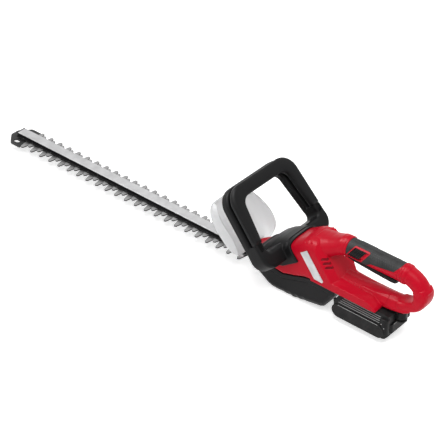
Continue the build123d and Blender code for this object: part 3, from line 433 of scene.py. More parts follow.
looks = {
    "redShell": {"color": (0.52, 0.003, 0.018), "rough": 0.32, "drift": 0.05, "edge": (0.78, 0.05, 0.08), "wear": 0.22,
                 "specular": 0.09, "grain": 1100, "bump": 0.08, "depth": 0.0001},
    "blackShell": {"color": (0.0075, 0.0075, 0.008), "rough": 0.42, "edge": (0.05, 0.05, 0.05), "wear": 0.4,
                   "specular": 0.10, "grain": 1000, "bump": 0.22, "depth": 0.00015},
    "blackGloss": {"color": (0.006, 0.006, 0.0065), "rough": 0.26, "edge": (0.05, 0.05, 0.05), "wear": 0.4,
                   "specular": 0.08, "bump": 0.05},
    "gripRubber": {"color": (0.011, 0.0115, 0.012), "rough": 0.55, "edge": (0.10, 0.10, 0.10), "wear": 0.35,
                   "specular": 0.14, "grain": 1400, "bump": 0.35, "depth": 0.0002},
    # the two greys below are painted highlight on the battery's ribs, rear rim and panel edges; the first is also the
    # screws' own grey
    "ribHighlightAndScrewGrey": {"color": (0.30, 0.30, 0.30), "rough": 0.38, "edge": (0.32, 0.32, 0.32), "wear": 0.3, "specular": 0.3},
    "panelHighlightGrey": {"color": (0.34, 0.34, 0.34), "rough": 0.34, "edge": (0.5, 0.5, 0.5), "wear": 0.3, "specular": 0.4},
    "gripMark": {"color": (0.034, 0.035, 0.036), "rough": 0.5, "specular": 0.2},
    # the darker colour for sloping faces is painted shade on the teeth's bevels
    "bladeSteel": {"color": (0.33, 0.33, 0.33), "flank": (0.035, 0.035, 0.035), "rough": 0.36, "metal": 0.8,
                   "drift": 0.3, "driftScale": 40.0, "edge": (0.42, 0.42, 0.42), "wear": 0.3, "brushed": 900.0,
                   "depth": 0.0001},
    "railMetal": {"color": (0.43, 0.43, 0.435), "rough": 0.42, "metal": 0.5, "drift": 0.08, "edge": (0.9, 0.9, 0.9),
                  "wear": 0.4, "brushed": 700.0, "bump": 0.12, "depth": 0.0001},
    "barBlack": {"color": (0.004, 0.004, 0.0045), "rough": 0.45, "drift": 0.2, "edge": (0.05, 0.05, 0.05), "wear": 0.4,
                 "specular": 0.05},
    # the vent plugs' dark red is painted shade in the slots
    "slotPaintedShade": {"color": (0.17, 0.003, 0.009), "rough": 0.5, "specular": 0.05},
    "tipNylon": {"color": (0.028, 0.028, 0.029), "rough": 0.48, "edge": (0.10, 0.10, 0.10), "wear": 0.4,
                 "specular": 0.2, "bump": 0.25},
    "screwSteel": {"color": (0.38, 0.38, 0.39), "rough": 0.32, "metal": 1.0, "edge": (0.7, 0.7, 0.7), "wear": 0.5},
    "badgeSilver": {"color": (0.44, 0.44, 0.45), "rough": 0.40, "metal": 0.35, "drift": 0.1, "edge": (0.85, 0.85, 0.85),
                    "wear": 0.5, "brushed": 1500.0, "bump": 0.12, "depth": 0.0001},
    "caseAlloy": {"color": (0.45, 0.46, 0.47), "rough": 0.45, "metal": 0.85, "drift": 0.15},
    "motorSteel": {"color": (0.40, 0.40, 0.41), "rough": 0.35, "metal": 0.95},
    "bushBronze": {"color": (0.50, 0.33, 0.12), "rough": 0.35, "metal": 1.0},
    "fanNylon": {"color": (0.05, 0.05, 0.055), "rough": 0.5},
    "boardGreen": {"color": (0.01, 0.14, 0.05), "rough": 0.35},
    "cellWrap": {"color": (0.03, 0.16, 0.35), "rough": 0.3},
    "springWire": {"color": (0.5, 0.5, 0.5), "rough": 0.3, "metal": 1.0},
}
materials = {name: surface(name, look) for name, look in looks.items()}

guardLook = {"color": (0.86, 0.865, 0.87), "rough": 0.32, "drift": 0.05, "driftScale": 12.0, "clear": 0.35,
             "refraction": 1.25, "alpha": 0.9, "grain": 500.0, "bump": 0.05, "depth": 0.0002}
# where the rim of a bezel turns into the grip's tone, in metres of height and of width
bezelLook = {"top": (0.1425, 0.1428), "far": (-0.0082, -0.0078)}


def guardMaterial():
    material, tree, shader = newMaterial("guardSmoke")
    tree.links.new(addTone(tree, shader, guardLook), shader.inputs["Base Color"])
    shader.inputs["Transmission Weight"].default_value = guardLook["clear"]
    shader.inputs["IOR"].default_value = guardLook["refraction"]
    shader.inputs["Alpha"].default_value = guardLook["alpha"]
    addBump(tree, shader, guardLook)
    return material


def bezelMaterial():
    # red, going to the grip's tone where the far rim meets the top of the grip
    material = materials["redShell"].copy()
    material.name = "bezelRed"
    tree = material.node_tree
    colour = tree.nodes["Principled BSDF"].inputs["Base Color"]
    axes = coordAxes(tree, "Object")
    high = rangeNode(tree, axes["Z"], *bezelLook["top"], 0.0, 1.0)
    far = rangeNode(tree, axes["Y"], *bezelLook["far"], 1.0, 0.0)
    dark = (*looks["gripRubber"]["color"], 1)
    mixed = mixColour(tree, mathNode(tree, "MULTIPLY", high, far), colour.links[0].from_socket, dark)
    tree.links.new(mixed, colour)
    return material


materials["guardSmoke"] = guardMaterial()
materials["bezelRed"] = bezelMaterial()

nodeLooks = {
    "bladeSteel": "lower_blade upper_blade",
    "barBlack": "support_bar",
    "railMetal": "guide_rail",
    "tipNylon": "tip_protector",
    "screwSteel": "blade_bolts tip_screws case_screws motor_screws shell_screws cover_screws guard_screws "
                  "gear_pin trigger_pin lever_pins",
    "motorSteel": "drive_gear pinion motor_can motor_rotor motor_magnets",
    "caseAlloy": "gear_case_lower gear_case_upper",
    "bushBronze": "motor_bushes terminal_blades",
    "fanNylon": "cooling_fan handle_switch trigger_switch",
    "boardGreen": "control_board",
    "cellWrap": "battery_cells",
    "springWire": "trigger_spring",
    "redShell": "housing_left housing_right",
    "bezelRed": "lock_bezels",
    "blackShell": "lower_cover front_handle switch_lever battery_foot trigger battery_base battery_lid "
                  "lock_off_slider",
    "blackGloss": "battery_latch battery_panels",
    "gripRubber": "grip_left grip_right",
    "badgeSilver": "badges",
    "guardSmoke": "guard",
}
for look, names in nodeLooks.items():
    for name in names.split():
        nodes[name].data.materials.clear()
        nodes[name].data.materials.append(materials[look])
print("materials made")

# red body: core, neck, battery skirt, arm and hook in one skin
redBody = {
    # x, half width, low, top, squareness of the upper half; then that of the lower half, and points round it
    "stations": [(-123, 15, 43, 52, 4), (-133, 24.5, 43, 55, 4), (-150, 31.5, 44, 64, 4), (-164, 34.6, 45, 79, 4),
                 (-178, 35.6, 45.5, 90, 3.8), (-190, 36, 45, 97.5, 3.6), (-204, 36, 43, 105, 3.6),
                 (-216, 36, 46.5, 113, 3.6), (-228, 36, 50, 120.6, 3.6), (-240, 36, 54.5, 128.2, 3.6),
                 (-250, 36, 58, 132, 3.6), (-262, 36, 59, 133.6, 3.6), (-278, 36, 59, 134.6, 3.6),
                 (-300, 36, 59, 137, 3.6), (-345, 36, 59, 140, 3.6)],
    "lowSquare": 12, "coreCount": 64, "ringCount": 48,
    # a point and a normal of each plane that trims the core
    "ventFace": ((-270.9, 36, 115.9), (-0.656, 0.543, 0.524)),
    "farTaper": ((-293, -36, 70), (-0.45, -0.893, 0)),
    "rearWall": ((-300, 23.4, 92.5), (-0.760, -0.171, 0.627)),
    # x, middle z, half width, half height
    "neck": [(-254, 110.5, 28.6, 24), (-268, 114.2, 27.2, 22.8), (-280, 119.2, 24.6, 20.8), (-291, 125.6, 21.4, 19),
             (-301, 131.4, 18.6, 18.2), (-307, 133, 17.4, 17.4), (-315.4, 133.5, 16.6, 16.6)], "neckSquare": 2.3,
    # x, near half width, top beside the arm, top at the near side, far half width, top at the far side
    "skirt": [(-262, 35.6, 80, 73, 34, 71), (-300, 36, 79, 73.6, 31, 68), (-312, 36, 78.4, 73.6, 28.6, 65.4),
              (-340, 36, 75.6, 73.4, 27.5, 64.6), (-374, 36, 73.6, 73.0, 27.5, 64.2), (-383, 36, 70, 69.6, 27.5, 63),
              (-390, 35.6, 66.4, 65.4, 27.2, 61.4), (-392.5, 35, 63, 62, 26.8, 60.2)],
    "skirtLow": 58.8, "skirtTopHalf": 17, "farFoot": 34.2, "farTop": 68.4,
    # x, low, top edge, crown
    "arm": [(-296, 62, 77, 77.4), (-320, 62, 77.2, 77.6), (-340, 62, 77.6, 78.4), (-375, 61, 78.8, 81.8),
            (-404, 62, 80.0, 84.6), (-420, 64.5, 81, 85.4), (-434, 67.5, 82.6, 87), (-444, 73.5, 84.5, 89)],
    "armHalf": 17.0, "armTopHalf": 12.4, "armStrip": 10.0, "armFoot": (1, 1.5), "crown": (5, 0.5),
    "hook": [(-418, 133.5), (-427, 133.6), (-436.8, 131.1), (-446.4, 126.0), (-453.4, 119.2), (-458.2, 112.4)],
    "hookRadius": 15.3, "hookDepth": [15.3, 15.2, 14.8, 14.2, 13.6, 13.2], "hookSquare": 2.15, "hookCount": 44,
    # x, z, half depth and half width of the block that turns up from the arm
    "heel": [(-420, 74.5, 10.2, 16.7), (-433, 78.2, 9.2, 16.7), (-444, 83.2, 9.6, 16.7), (-452.4, 89.2, 10.2, 16.7),
             (-457, 97.5, 11.2, 16.7), (-458.4, 105.5, 12.4, 16.6), (-457.6, 112.6, 13.2, 16.0),
             (-454.4, 118.8, 12.6, 15.2)],
    "heelSquare": 3.6,
    # the raised band at the hook's end: how far along, and how much wider and deeper than the hook
    "band": [(-1.4, 0, -0.2), (-0.6, 0.9, 0.6), (2.2, 1.1, 0.6), (3.2, 0.9, -0.4)], "bandSquare": 2.3,
    # the collars at both ends of the grip: x, lift off the grip's axis, radius
    "gripAxis": 133.5,
    "flange": [(-419.2, 0, 16.4), (-419.8, 0, 17.5), (-428, 0, 17.5), (-428.8, -0.2, 16.2)],
    "lip": [(-306.6, -0.3, 16.8), (-307.6, 0, 18.0), (-315, 0, 18.0), (-315.8, 0, 16.8)],
    # low end and top of each crease on the dome; its half width and height, then its lean, root and upper end
    "creases": [((-245.5, 29.0, 123.6), (-234, 20.5, 122.6)), ((-258.5, 28.4, 127.4), (-248.4, 19.5, 130.2)),
                ((-266.5, 24.0, 130.6), (-254.2, 16.6, 131.6))],
    "creaseSize": (2.5, 3.0), "creaseLean": (0.1, 0.62, 0.78), "creaseRoot": 3.0, "creaseEnd": (0.8, 0.15),
    "voxel": 0.75, "rounds": 3,
    "ventPlaces": [(-284.2, 108.0), (-288.9, 101.8), (-293.6, 95.7)],
    # shadeShrink and shadeDeep size the plugs of painted shade in the vents
    "ventSize": (9.8, 3.7), "ventTurn": -6.0, "ventReach": (20.5, 60), "shadeShrink": 0.1, "shadeDeep": 0.7,
    # where the red shows beside the rubber of the grip
    "bareHalf": 30,
    "gripBare": [(-350, 100), (-352, 122), (-365, 132), (-409, 138), (-419, 151), (-426, 151), (-426, 100)],
    "gripCore": 13.2, "gripCoreEnds": (-306, -426), "gripBareRadius": 16.0, "gripBareEnds": (-345, -424),
    "triggerSlot": [(-305.4, 92), (-305.4, 127.5), (-411, 127.5), (-411, 90)], "triggerHalf": 8.1,
    # x, outer radius, depth and half width of each line scored round the grip, and how far out the cutters reach
    "ringGrooves": [(-415.6, 16.0, 0.7, 0.28), (-424, 17.5, 0.8, 0.3), (-311.4, 18.0, 0.9, 0.4)], "grooveOver": 5,
    # x, z along the arm's crown, the score's half width, depth and height above the arm, and the cross line's x,
    # width, inner and outer reach, low and top
    "seam": [(-303, 77.6), (-340, 78.8), (-375, 82.0), (-404, 84.8), (-428, 87.0)], "seamHalf": 0.34, "seamDeep": 0.8,
    "seamOver": 3, "crossSeam": (-400.6, 0.8, 1.4, 20.0, 70, 90),
    # how far inside the arm the cross line ends: foot, top half width, top edge, crown
    "seamFloor": (0.5, 0.2, 0.7, 0.9), "seamFloorLow": 62,
}


def bodyCore(name, grow):
    count = redBody["coreCount"]
    rings = []
    for x, half, low, top, power in redBody["stations"]:
        upper, lower = (superRing((x, 0, (low + top) / 2), axisY, axisZ, half + grow, (top - low) / 2 + grow, p, count)
                        for p in (power, redBody["lowSquare"]))
        rings.append(upper[:count // 2 + 1] + lower[count // 2 + 1:])
    return loft(name, rings)


def wedgeFin(low, top, wide, high):
    # a thin raised crease on the dome, widest at its low end and dying out at the top
    low, top = Vector(low), Vector(top)
    lean, (endWide, endHigh) = redBody["creaseLean"], redBody["creaseEnd"]
    out = Vector((lean[0], math.copysign(lean[1], low.y), lean[2])).normalized()
    side = (top - low).normalized().cross(out).normalized()
    deep = out * -redBody["creaseRoot"]
    verts = [low + side * wide + deep, low + out * high, low - side * wide + deep,
             top + side * endWide + deep, top + out * endHigh, top - side * endWide + deep]
    return newPiece("crease", verts, [(0, 1, 2), (3, 5, 4), (0, 3, 4, 1), (1, 4, 5, 2), (2, 5, 3, 0)])


def ringAt(x, z, a, b, power=2.0):
    # a section across the body
    return superRing((x, 0, z), axisY, axisZ, a, b, power, redBody["ringCount"])


def gripRod(name, ends, radius):
    return loft(name, [ringAt(x, redBody["gripAxis"], radius, radius) for x in ends])


def collar(name):
    rows = redBody[name]
    radii = [radius for x, lift, radius in rows]
    path = [(x, 0, redBody["gripAxis"] + lift) for x, lift, radius in rows]
    return tubeAlong(name, path, radii, radii, 2.0, redBody["ringCount"])


def ringGroove(x, radius, deep, wide):
    # a cutter that scores a line round the grip's axis
    over = radius + redBody["grooveOver"]
    corners = ((x - wide, radius - deep), (x + wide, radius - deep), (x + wide, over), (x - wide, over))
    return loft("ringGroove", [ringAt(px, redBody["gripAxis"], r, r) for px, r in corners], closed=True)


def makeSkirt():
    low, half, farFoot, farTop = (redBody[k] for k in ("skirtLow", "skirtTopHalf", "farFoot", "farTop"))
    return loft("skirt", [[(x, -farFoot, low), (x, near, low), (x, near, edge), (x, half, top),
                           (x, -half, min(top, farTop)), (x, -far, farEdge)]
                          for x, near, top, edge, far, farEdge in redBody["skirt"]])


def makeArm():
    wide, flat, strip = redBody["armHalf"], redBody["armTopHalf"], redBody["armStrip"]
    (footIn, footRise), (crownHalf, crownDrop) = redBody["armFoot"], redBody["crown"]
    rings = []
    for x, low, edge, crown in redBody["arm"]:
        near = [(wide - footIn, low), (wide, low + footRise), (wide, max(edge - strip, low + footRise + 1)),
                (flat, edge), (crownHalf, crown - crownDrop)]
        ring = [(footIn - wide, low)] + near + [(0, crown)] + [(-y, z) for y, z in reversed(near[1:])]
        rings.append([(x, y, z) for y, z in ring])
    return loft("arm", rings)


def makeHook():
    # the hook and the raised band at its end
    radius, count = redBody["hookRadius"], redBody["hookCount"]
    path = smoothPath([(x, 0, z) for x, z in redBody["hook"]], 6)
    thick = [v[2] for v in smoothPath([(i, 0, b) for i, b in enumerate(redBody["hookDepth"])], 6)]
    hook = tubeAlong("hook", path, [radius] * len(path), thick, redBody["hookSquare"], count)
    before, end = (Vector((x, 0, z)) for x, z in redBody["hook"][-2:])
    step = (end - before).normalized()
    rows = redBody["band"]
    band = tubeAlong("band", [end + step * along for along, wide, deep in rows],
                     [radius + wide for along, wide, deep in rows],
                     [thick[-1] + deep for along, wide, deep in rows], redBody["bandSquare"], count)
    return hook, band


def makeRedBody():
    core = bodyCore("core", 0)
    point, normal = redBody["ventFace"]
    for side in (1, -1):
        cutBy(core, (point[0], point[1] * side, point[2]), (normal[0], normal[1] * side, normal[2]))
    cutBy(core, *redBody["farTaper"])
    cutBy(core, *redBody["rearWall"])
    neck = loft("neck", [ringAt(x, z, a, b, redBody["neckSquare"]) for x, z, a, b in redBody["neck"]])
    skirt, arm, (hook, band) = makeSkirt(), makeArm(), makeHook()
    heelPath = smoothPath([(x, 0, z) for x, z, deep, wide in redBody["heel"]], 5)
    sizes = smoothPath([(wide, 0, deep) for x, z, deep, wide in redBody["heel"]], 5)
    heel = tubeAlong("heel", heelPath, [v[0] for v in sizes], [v[2] for v in sizes], redBody["heelSquare"],
                     redBody["ringCount"])
    grip = gripRod("gripCore", redBody["gripCoreEnds"], redBody["gripCore"])
    bare = carve(gripRod("gripBare", redBody["gripBareEnds"], redBody["gripBareRadius"]),
                 prism("bareTrim", redBody["gripBare"], -redBody["bareHalf"], redBody["bareHalf"]), "INTERSECT")
    creases = [wedgeFin((a[0], a[1] * s, a[2]), (b[0], b[1] * s, b[2]), *redBody["creaseSize"])
               for a, b in redBody["creases"] for s in (1, -1)]
    parts = [core, neck, skirt, arm, hook, heel, band, collar("flange"), collar("lip"), grip, bare]
    return fuse("redBody", parts + creases, redBody["voxel"], redBody["rounds"])


red = makeRedBody()
print("red body skinned:", len(red.data.polygons))


def ventCutters(shrink=0.0):
    a, b = ((v - shrink) / 2 for v in redBody["ventSize"])
    turn = math.radians(redBody["ventTurn"])
    c, s = math.cos(turn), math.sin(turn)
    slot = roundCorners([(-a, -b), (a, -b), (a, b), (-a, b)], b / 1.05)
    return [prism("ventCutter", [(x - u * c + v * s, z + u * s + v * c) for u, v in slot],
                  *(side * reach for reach in redBody["ventReach"]))
            for x, z in redBody["ventPlaces"] for side in (-1, 1)]


def seamCutters():
    # the line where the two halves meet, along the arm's crown, and a line across it
    line, half, deep = redBody["seam"], redBody["seamHalf"], redBody["seamDeep"]
    x, wide, inner, outer, low, high = redBody["crossSeam"]
    footIn, topIn, edgeDrop, crownDrop = redBody["seamFloor"]
    footHalf, topHalf = redBody["armHalf"] - footIn, redBody["armTopHalf"] - topIn
    across = [(x, low), (x + wide, low), (x + wide, high), (x, high)]
    upper, lower = [(a, b + redBody["seamOver"]) for a, b in line], [(a, b - deep) for a, b in reversed(line)]
    floor = redBody["seamFloorLow"]
    core = loft("armCore", [[(a, -footHalf, floor), (a, footHalf, floor), (a, topHalf, edge - edgeDrop),
                             (a, 0, crown - crownDrop), (a, -topHalf, edge - edgeDrop)]
                            for a, foot, edge, crown in redBody["arm"]])
    score, other = prism("crossSeam", across, -outer, -inner), prism("crossSeam", across, inner, outer)
    carve(score, core, keep=True)
    carve(other, core)
    return [prism("seam", upper + lower, -half, half), score, other]


def makeVentShade():
    # painted shade: dark floors a little way down the vent slots, standing in for the shadow in them
    plugs = ventCutters(redBody["shadeShrink"])
    point, normal = redBody["ventFace"]
    wall, wallNormal = redBody["rearWall"]
    for i, plug in enumerate(plugs):
        side = (-1, 1)[i % 2]
        slope = Vector((normal[0], normal[1] * side, normal[2]))
        cutBy(plug, Vector((point[0], point[1] * side, point[2])) - slope * redBody["shadeDeep"], slope)
        cutBy(plug, Vector(wall) - Vector(wallNormal) * redBody["shadeDeep"], wallNormal)
    return gather("ventShade", plugs)


half = redBody["triggerHalf"]
carve(red, gather("openings", ventCutters() + [prism("triggerCutter", redBody["triggerSlot"], -half, half)]))
carve(red, gather("grooves", [ringGroove(*row) for row in redBody["ringGrooves"]]))
carve(red, gather("seams", seamCutters()))
print("red body cut:", len(red.data.polygons))
finishPiece(red, materials["redShell"], "root")
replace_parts(red, "housing_left", "housing_right")
# the dark vent plugs carry painted shade
finishPiece(makeVentShade(), materials["slotPaintedShade"], "root", smooth=False)

# front handle: a fixed front bar with its lower curve, and the squeeze bar behind it
handle = {
    # outer and inner edge of the loop, in its own plane: half widths at top and foot, both ends, corner radii
    "origin": (-160.0, 150.0), "lean": 41.5,
    "halfTop": 78.5, "halfLow": 86.6, "top": 58.8, "low": -89.0, "corner": 31.0, "cornerLow": 46.0,
    "halfTopInner": 55.0, "halfLowInner": 69.0, "topInner": 35.4, "lowInner": -60.0, "cornerInner": 17.0,
    "depth": 35.0, "rearBar": 12.0, "groove": 6.0, "round": 4.6, "curveRound": 6.1, "seam": -41.0, "seamGap": 0.9,
    "frontTail": 6, "pinV": -48.0, "pinRadius": 2.05, "pinReach": 9, "tongue": 13.0,
    # half width, then lower end, upper end, front and rear of the pocket in each leg and of the tongue in it
    "pocketBlock": (4.7, -0.7, 1.2, -12.2, 0.8), "tongueBlock": (4, 0, 3, -9.5, -2.5),
    "saddle": [(-238, 85), (-207, 63), (-188, 57), (-150, 56), (-138, 64), (-150, 90), (-172, 110), (-204, 119),
               (-218, 121), (-217, 107)],
    "inlay": [(-212, 104), (-196, 66), (-160, 60), (-158, 84), (-178, 104), (-205, 116)],
    # how far the saddle and its inlay stand off the red core
    "saddleGrow": 3.3, "inlayGrow": 5.0, "trimReach": 60, "voxel": 0.9, "rounds": 5,
}
leanAngle = math.radians(handle["lean"])


def onHandle(y, v, n):
    # y across, v up the handle, n towards the rear hand
    c, s = math.cos(leanAngle), math.sin(leanAngle)
    return (handle["origin"][0] + s * v - c * n, y, handle["origin"][1] + c * v + s * n)


def halfAt(v, inner):
    if inner:
        top, low, a, b = handle["topInner"], handle["lowInner"], handle["halfTopInner"], handle["halfLowInner"]
    else:
        top, low, a, b = handle["top"], handle["low"], handle["halfTop"], handle["halfLow"]
    return a + (b - a) * (top - v) / (top - low)


def stretch(points, turns, steps):
    # adds points along the straight runs before, between and after two corners of that many points
    out = []
    for i, p in enumerate(points):
        out.append(p)
        if i % turns == 0 and i + 1 < len(points):
            q = points[i + 1]
            out += [(p[0] + (q[0] - p[0]) * k / steps, p[1] + (q[1] - p[1]) * k / steps) for k in range(1, steps)]
    return out


def loopSide(inner, endV, upper):
    # one edge of the loop, from the left leg round to the right leg
    if inner:
        far, radius = handle["topInner" if upper else "lowInner"], handle["cornerInner"]
    else:
        far, radius = (handle["top"], handle["corner"]) if upper else (handle["low"], handle["cornerLow"])
    points = [(-halfAt(endV, inner), endV), (-halfAt(far, inner), far), (halfAt(far, inner), far),
              (halfAt(endV, inner), endV)]
    return stretch(roundCorners(points, [0, radius, radius, 0], 12), 13, 10)


def barRing(outer, inner, n0, n1, r):
    # a rounded section between the loop's outer and inner edge
    o, i = Vector(outer), Vector(inner)
    width = (i - o).length
    along = (i - o).normalized()
    r = min(r, width * 0.45, (n1 - n0) * 0.45)
    steps = 5
    ring = []
    for cs, cn, start in ((width - r, n1 - r, 0), (r, n1 - r, 90), (r, n0 + r, 180), (width - r, n0 + r, 270)):
        for k in range(steps + 1):
            t = math.radians(start + 90 * k / steps)
            spot = o + along * (cs + r * math.cos(t))
            ring.append(onHandle(-spot.x, spot.y, cn + r * math.sin(t)))
    return ring


def loopBar(name, endV, upper, n0, n1, r):
    outer, inner = loopSide(False, endV, upper), loopSide(True, endV, upper)
    return loft(name, [barRing(a, b, n0, n1, r) for a, b in zip(outer, inner)])


def onBody(name, outline, grow, radius, steps):
    # a layer over the red core, trimmed to an outline drawn from the side
    reach = handle["trimReach"]
    trim = prism(name + "Trim", roundCorners(outline, radius, steps), -reach, reach)
    return carve(bodyCore(name, grow), trim, "INTERSECT")


def makeFrontHandle():
    depth, seam = handle["depth"], handle["seam"]
    front = loopBar("frontBar", seam - handle["frontTail"], True, -depth, -handle["rearBar"] - handle["groove"],
                    handle["round"])
    curve = loopBar("lowerCurve", seam, False, -depth, 0, handle["curveRound"])
    saddle = onBody("saddle", handle["saddle"], handle["saddleGrow"], 2, 3)
    inlay = onBody("inlay", handle["inlay"], handle["inlayGrow"], 8, 5)
    return fuse("frontHandle", [front, curve, saddle, inlay], handle["voxel"], handle["rounds"])


def legMiddle(side):
    return side * (halfAt(handle["pinV"], False) + halfAt(handle["pinV"], True)) / 2


def legBlock(name, side):
    # a block in one leg, across the joint between the squeeze bar and the fixed part
    half, below, above, n0, n1 = handle[name]
    y, low, high = legMiddle(side), handle["seam"] - handle["tongue"] + below, handle["seam"] + above
    corners = [onHandle(y + a, v, n) for a in (-half, half) for v in (low, high) for n in (n0, n1)]
    return newPiece(name, corners, [(0, 1, 3, 2), (4, 5, 7, 6), (0, 1, 5, 4), (2, 3, 7, 6), (0, 2, 6, 4), (1, 3, 7, 5)])


frontHandle = makeFrontHandle()
for side in (-1, 1):
    carve(frontHandle, legBlock("pocketBlock", side))
finishPiece(frontHandle, materials["blackShell"], "root")
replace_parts(frontHandle, "front_handle")

lever = loopBar("squeezeBar", handle["seam"] + handle["seamGap"], True, -handle["rearBar"], 0, handle["round"])
pinX, _, pinZ = onHandle(0, handle["pinV"], -handle["rearBar"] / 2)
for side in (-1, 1):
    carve(lever, legBlock("tongueBlock", side), "UNION")
    y, reach = legMiddle(side), handle["pinReach"]
    carve(lever, rodAcross("pinHole", pinX, pinZ, handle["pinRadius"], y - reach, y + reach))
finishPiece(lever, materials["blackShell"], "switch_lever")
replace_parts(lever, "switch_lever")
print("front handle made")

# lower cover
cover = {
    # x, half width, low, top
    "stations": [(-123.6, 15.5, 14, 42.4), (-134, 24.5, 13.4, 43), (-150, 31, 12.2, 44.2), (-162, 33.4, 8, 45),
                 (-172, 34.2, 2.4, 45.2), (-180, 34.5, 0.3, 45), (-190, 34.6, 0, 44.6), (-204, 34.6, 0, 42.3),
                 (-212, 34.6, 0, 44.8), (-226, 34.6, 0.0, 49.3), (-238, 34.6, 2.2, 53.6), (-251, 34.6, 4.6, 57.7),
                 (-266, 34.6, 7.4, 58.2), (-280, 34.6, 9.8, 58.4), (-287, 34.5, 13.6, 58.4), (-296, 34.2, 27, 58.4),
                 (-304, 33.8, 40, 58.4), (-312.6, 33.2, 57.4, 58.4)],
    # where the waves along the lower edge start and end, their number and height
    "waves": (-196, -262, 4.6, 2.6),
    # the lower corner: highest rise and its share of the height
    "cornerRise": (11, 0.45),
    # its points: inset from the side, share of the rise and share of the wave
    "corner": [(0, 1, 0), (2.6, 0.42, 0.7), (7.5, 0, 0.4), (12, 0, 0)], "stationStep": 2, "voxel": 0.8, "rounds": 4,
    # the step along the side: below the top, half height, how far across it cuts and where along x it runs
    "step": (8.5, 0.55), "stepReach": (33.9, 38), "stepEnds": (-300, -176),
}


def coverWave(x):
    first, last, count, height = cover["waves"]
    if not last < x < first:
        return 0.0
    phase = (x - first) / (last - first)
    return height * math.sin(math.pi * phase) * math.sin(math.pi * phase * count) ** 2


def coverRing(x, half, low, top):
    most, share = cover["cornerRise"]
    wave = coverWave(x)
    rise = min(most, (top - low) * share) + wave
    side = [(half - inset, low + rise * a + wave * b) for inset, a, b in cover["corner"]]
    return [(x, y, z) for y, z in [(-half, top), (half, top)] + side + [(-y, z) for y, z in reversed(side)]]


def makeCover():
    fine, rows = [], cover["stations"]
    for a, b in zip(rows, rows[1:]):
        n = max(1, int(abs(b[0] - a[0]) / cover["stationStep"]))
        fine += [tuple(a[k] + (b[k] - a[k]) * i / n for k in range(4)) for i in range(n)]
    return fuse("lowerCover", [loft("coverForm", [coverRing(*row) for row in fine + rows[-1:]])],
                cover["voxel"], cover["rounds"])


def sideStep(side):
    # a shallow step runs along the side, a little below the red shells
    (drop, half), (rear, front) = cover["step"], cover["stepEnds"]
    line = [(x, top - drop) for x, wide, low, top in cover["stations"] if rear < x < front]
    return prism("sideStep", [(x, z + half) for x, z in line] + [(x, z - half) for x, z in reversed(line)],
                 *(side * reach for reach in cover["stepReach"]))


lowerCover = makeCover()
for side in (-1, 1):
    carve(lowerCover, sideStep(side))
finishPiece(lowerCover, materials["blackShell"], "root")
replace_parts(lowerCover, "lower_cover")
print("lower cover made")

# guard: a wide bowl with big soft corners, open to the rear
guard = {
    # front edge x, z; back edge x, z; half width
    "rows": [(-112, 35.5, -119, 36, 34), (-106, 38, -119.5, 40, 42), (-98, 43.5, -120, 46.5, 48.5),
             (-88, 51.0, -120.5, 55, 51.6), (-77, 59.8, -119, 64, 52.6), (-68, 68.0, -114.5, 73, 52.8),
             (-60.5, 77, -108, 80.5, 52.8), (-54.6, 86, -99.5, 88, 52.4), (-50.4, 95, -90, 95, 51.2),
             (-48.4, 103, -81, 101.5, 48.8), (-48.2, 109, -73.5, 107.0, 45.4), (-49.0, 114.0, -66.5, 111.6, 40.6),
             (-51.0, 117.4, -60.5, 115.4, 34.5)],
    # the corner's radius, and the most of the depth and of the half width that it may take
    "round": 22.0, "roundShares": (0.92, 0.8), "wall": 2.6,
    "foot": [(-118, 36.3), (-108, 36.3), (-100, 43), (-92, 50), (-96, 53), (-121.6, 53)], "footHalf": 16.5,
}


def makeGuard():
    rings = []
    deepShare, wideShare = guard["roundShares"]
    for fx, fz, bx, bz, half in guard["rows"]:
        reach = math.hypot(bx - fx, bz - fz)
        corner = min(guard["round"], reach * deepShare, half * wideShare)
        outline = roundCorners([(reach, -half), (0, -half), (0, half), (reach, half)], [0, corner, corner, 0], 10)
        ux, uz = (bx - fx) / reach, (bz - fz) / reach
        rings.append([(fx + ux * u, y, fz + uz * u) for u, y in stretch(outline, 11, 6)])
    count = len(rings[0])
    verts = [p for ring in rings for p in ring]
    faces = [(i * count + k, i * count + k + 1, (i + 1) * count + k + 1, (i + 1) * count + k)
             for i in range(len(rings) - 1) for k in range(count - 1)]
    shell = newPiece("guardShell", verts, faces)
    bm = bmesh.new()
    bm.from_mesh(shell.data)
    if sum(f.normal.x for f in bm.faces) < 0:
        bmesh.ops.reverse_faces(bm, faces=bm.faces)
    bm.to_mesh(shell.data)
    bm.free()
    even = shell.modifiers.new("even", "SUBSURF")
    even.levels = even.render_levels = 1
    thick = shell.modifiers.new("wall", "SOLIDIFY")
    thick.thickness = guard["wall"] * mm
    thick.offset = -1
    return bake(shell)


guardShell = makeGuard()
carve(guardShell, prism("guardFoot", guard["foot"], -guard["footHalf"], guard["footHalf"]), "UNION")
finishPiece(guardShell, materials["guardSmoke"], "root", bevel=0.7, angle=50)
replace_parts(guardShell, "guard")
print("guard made")

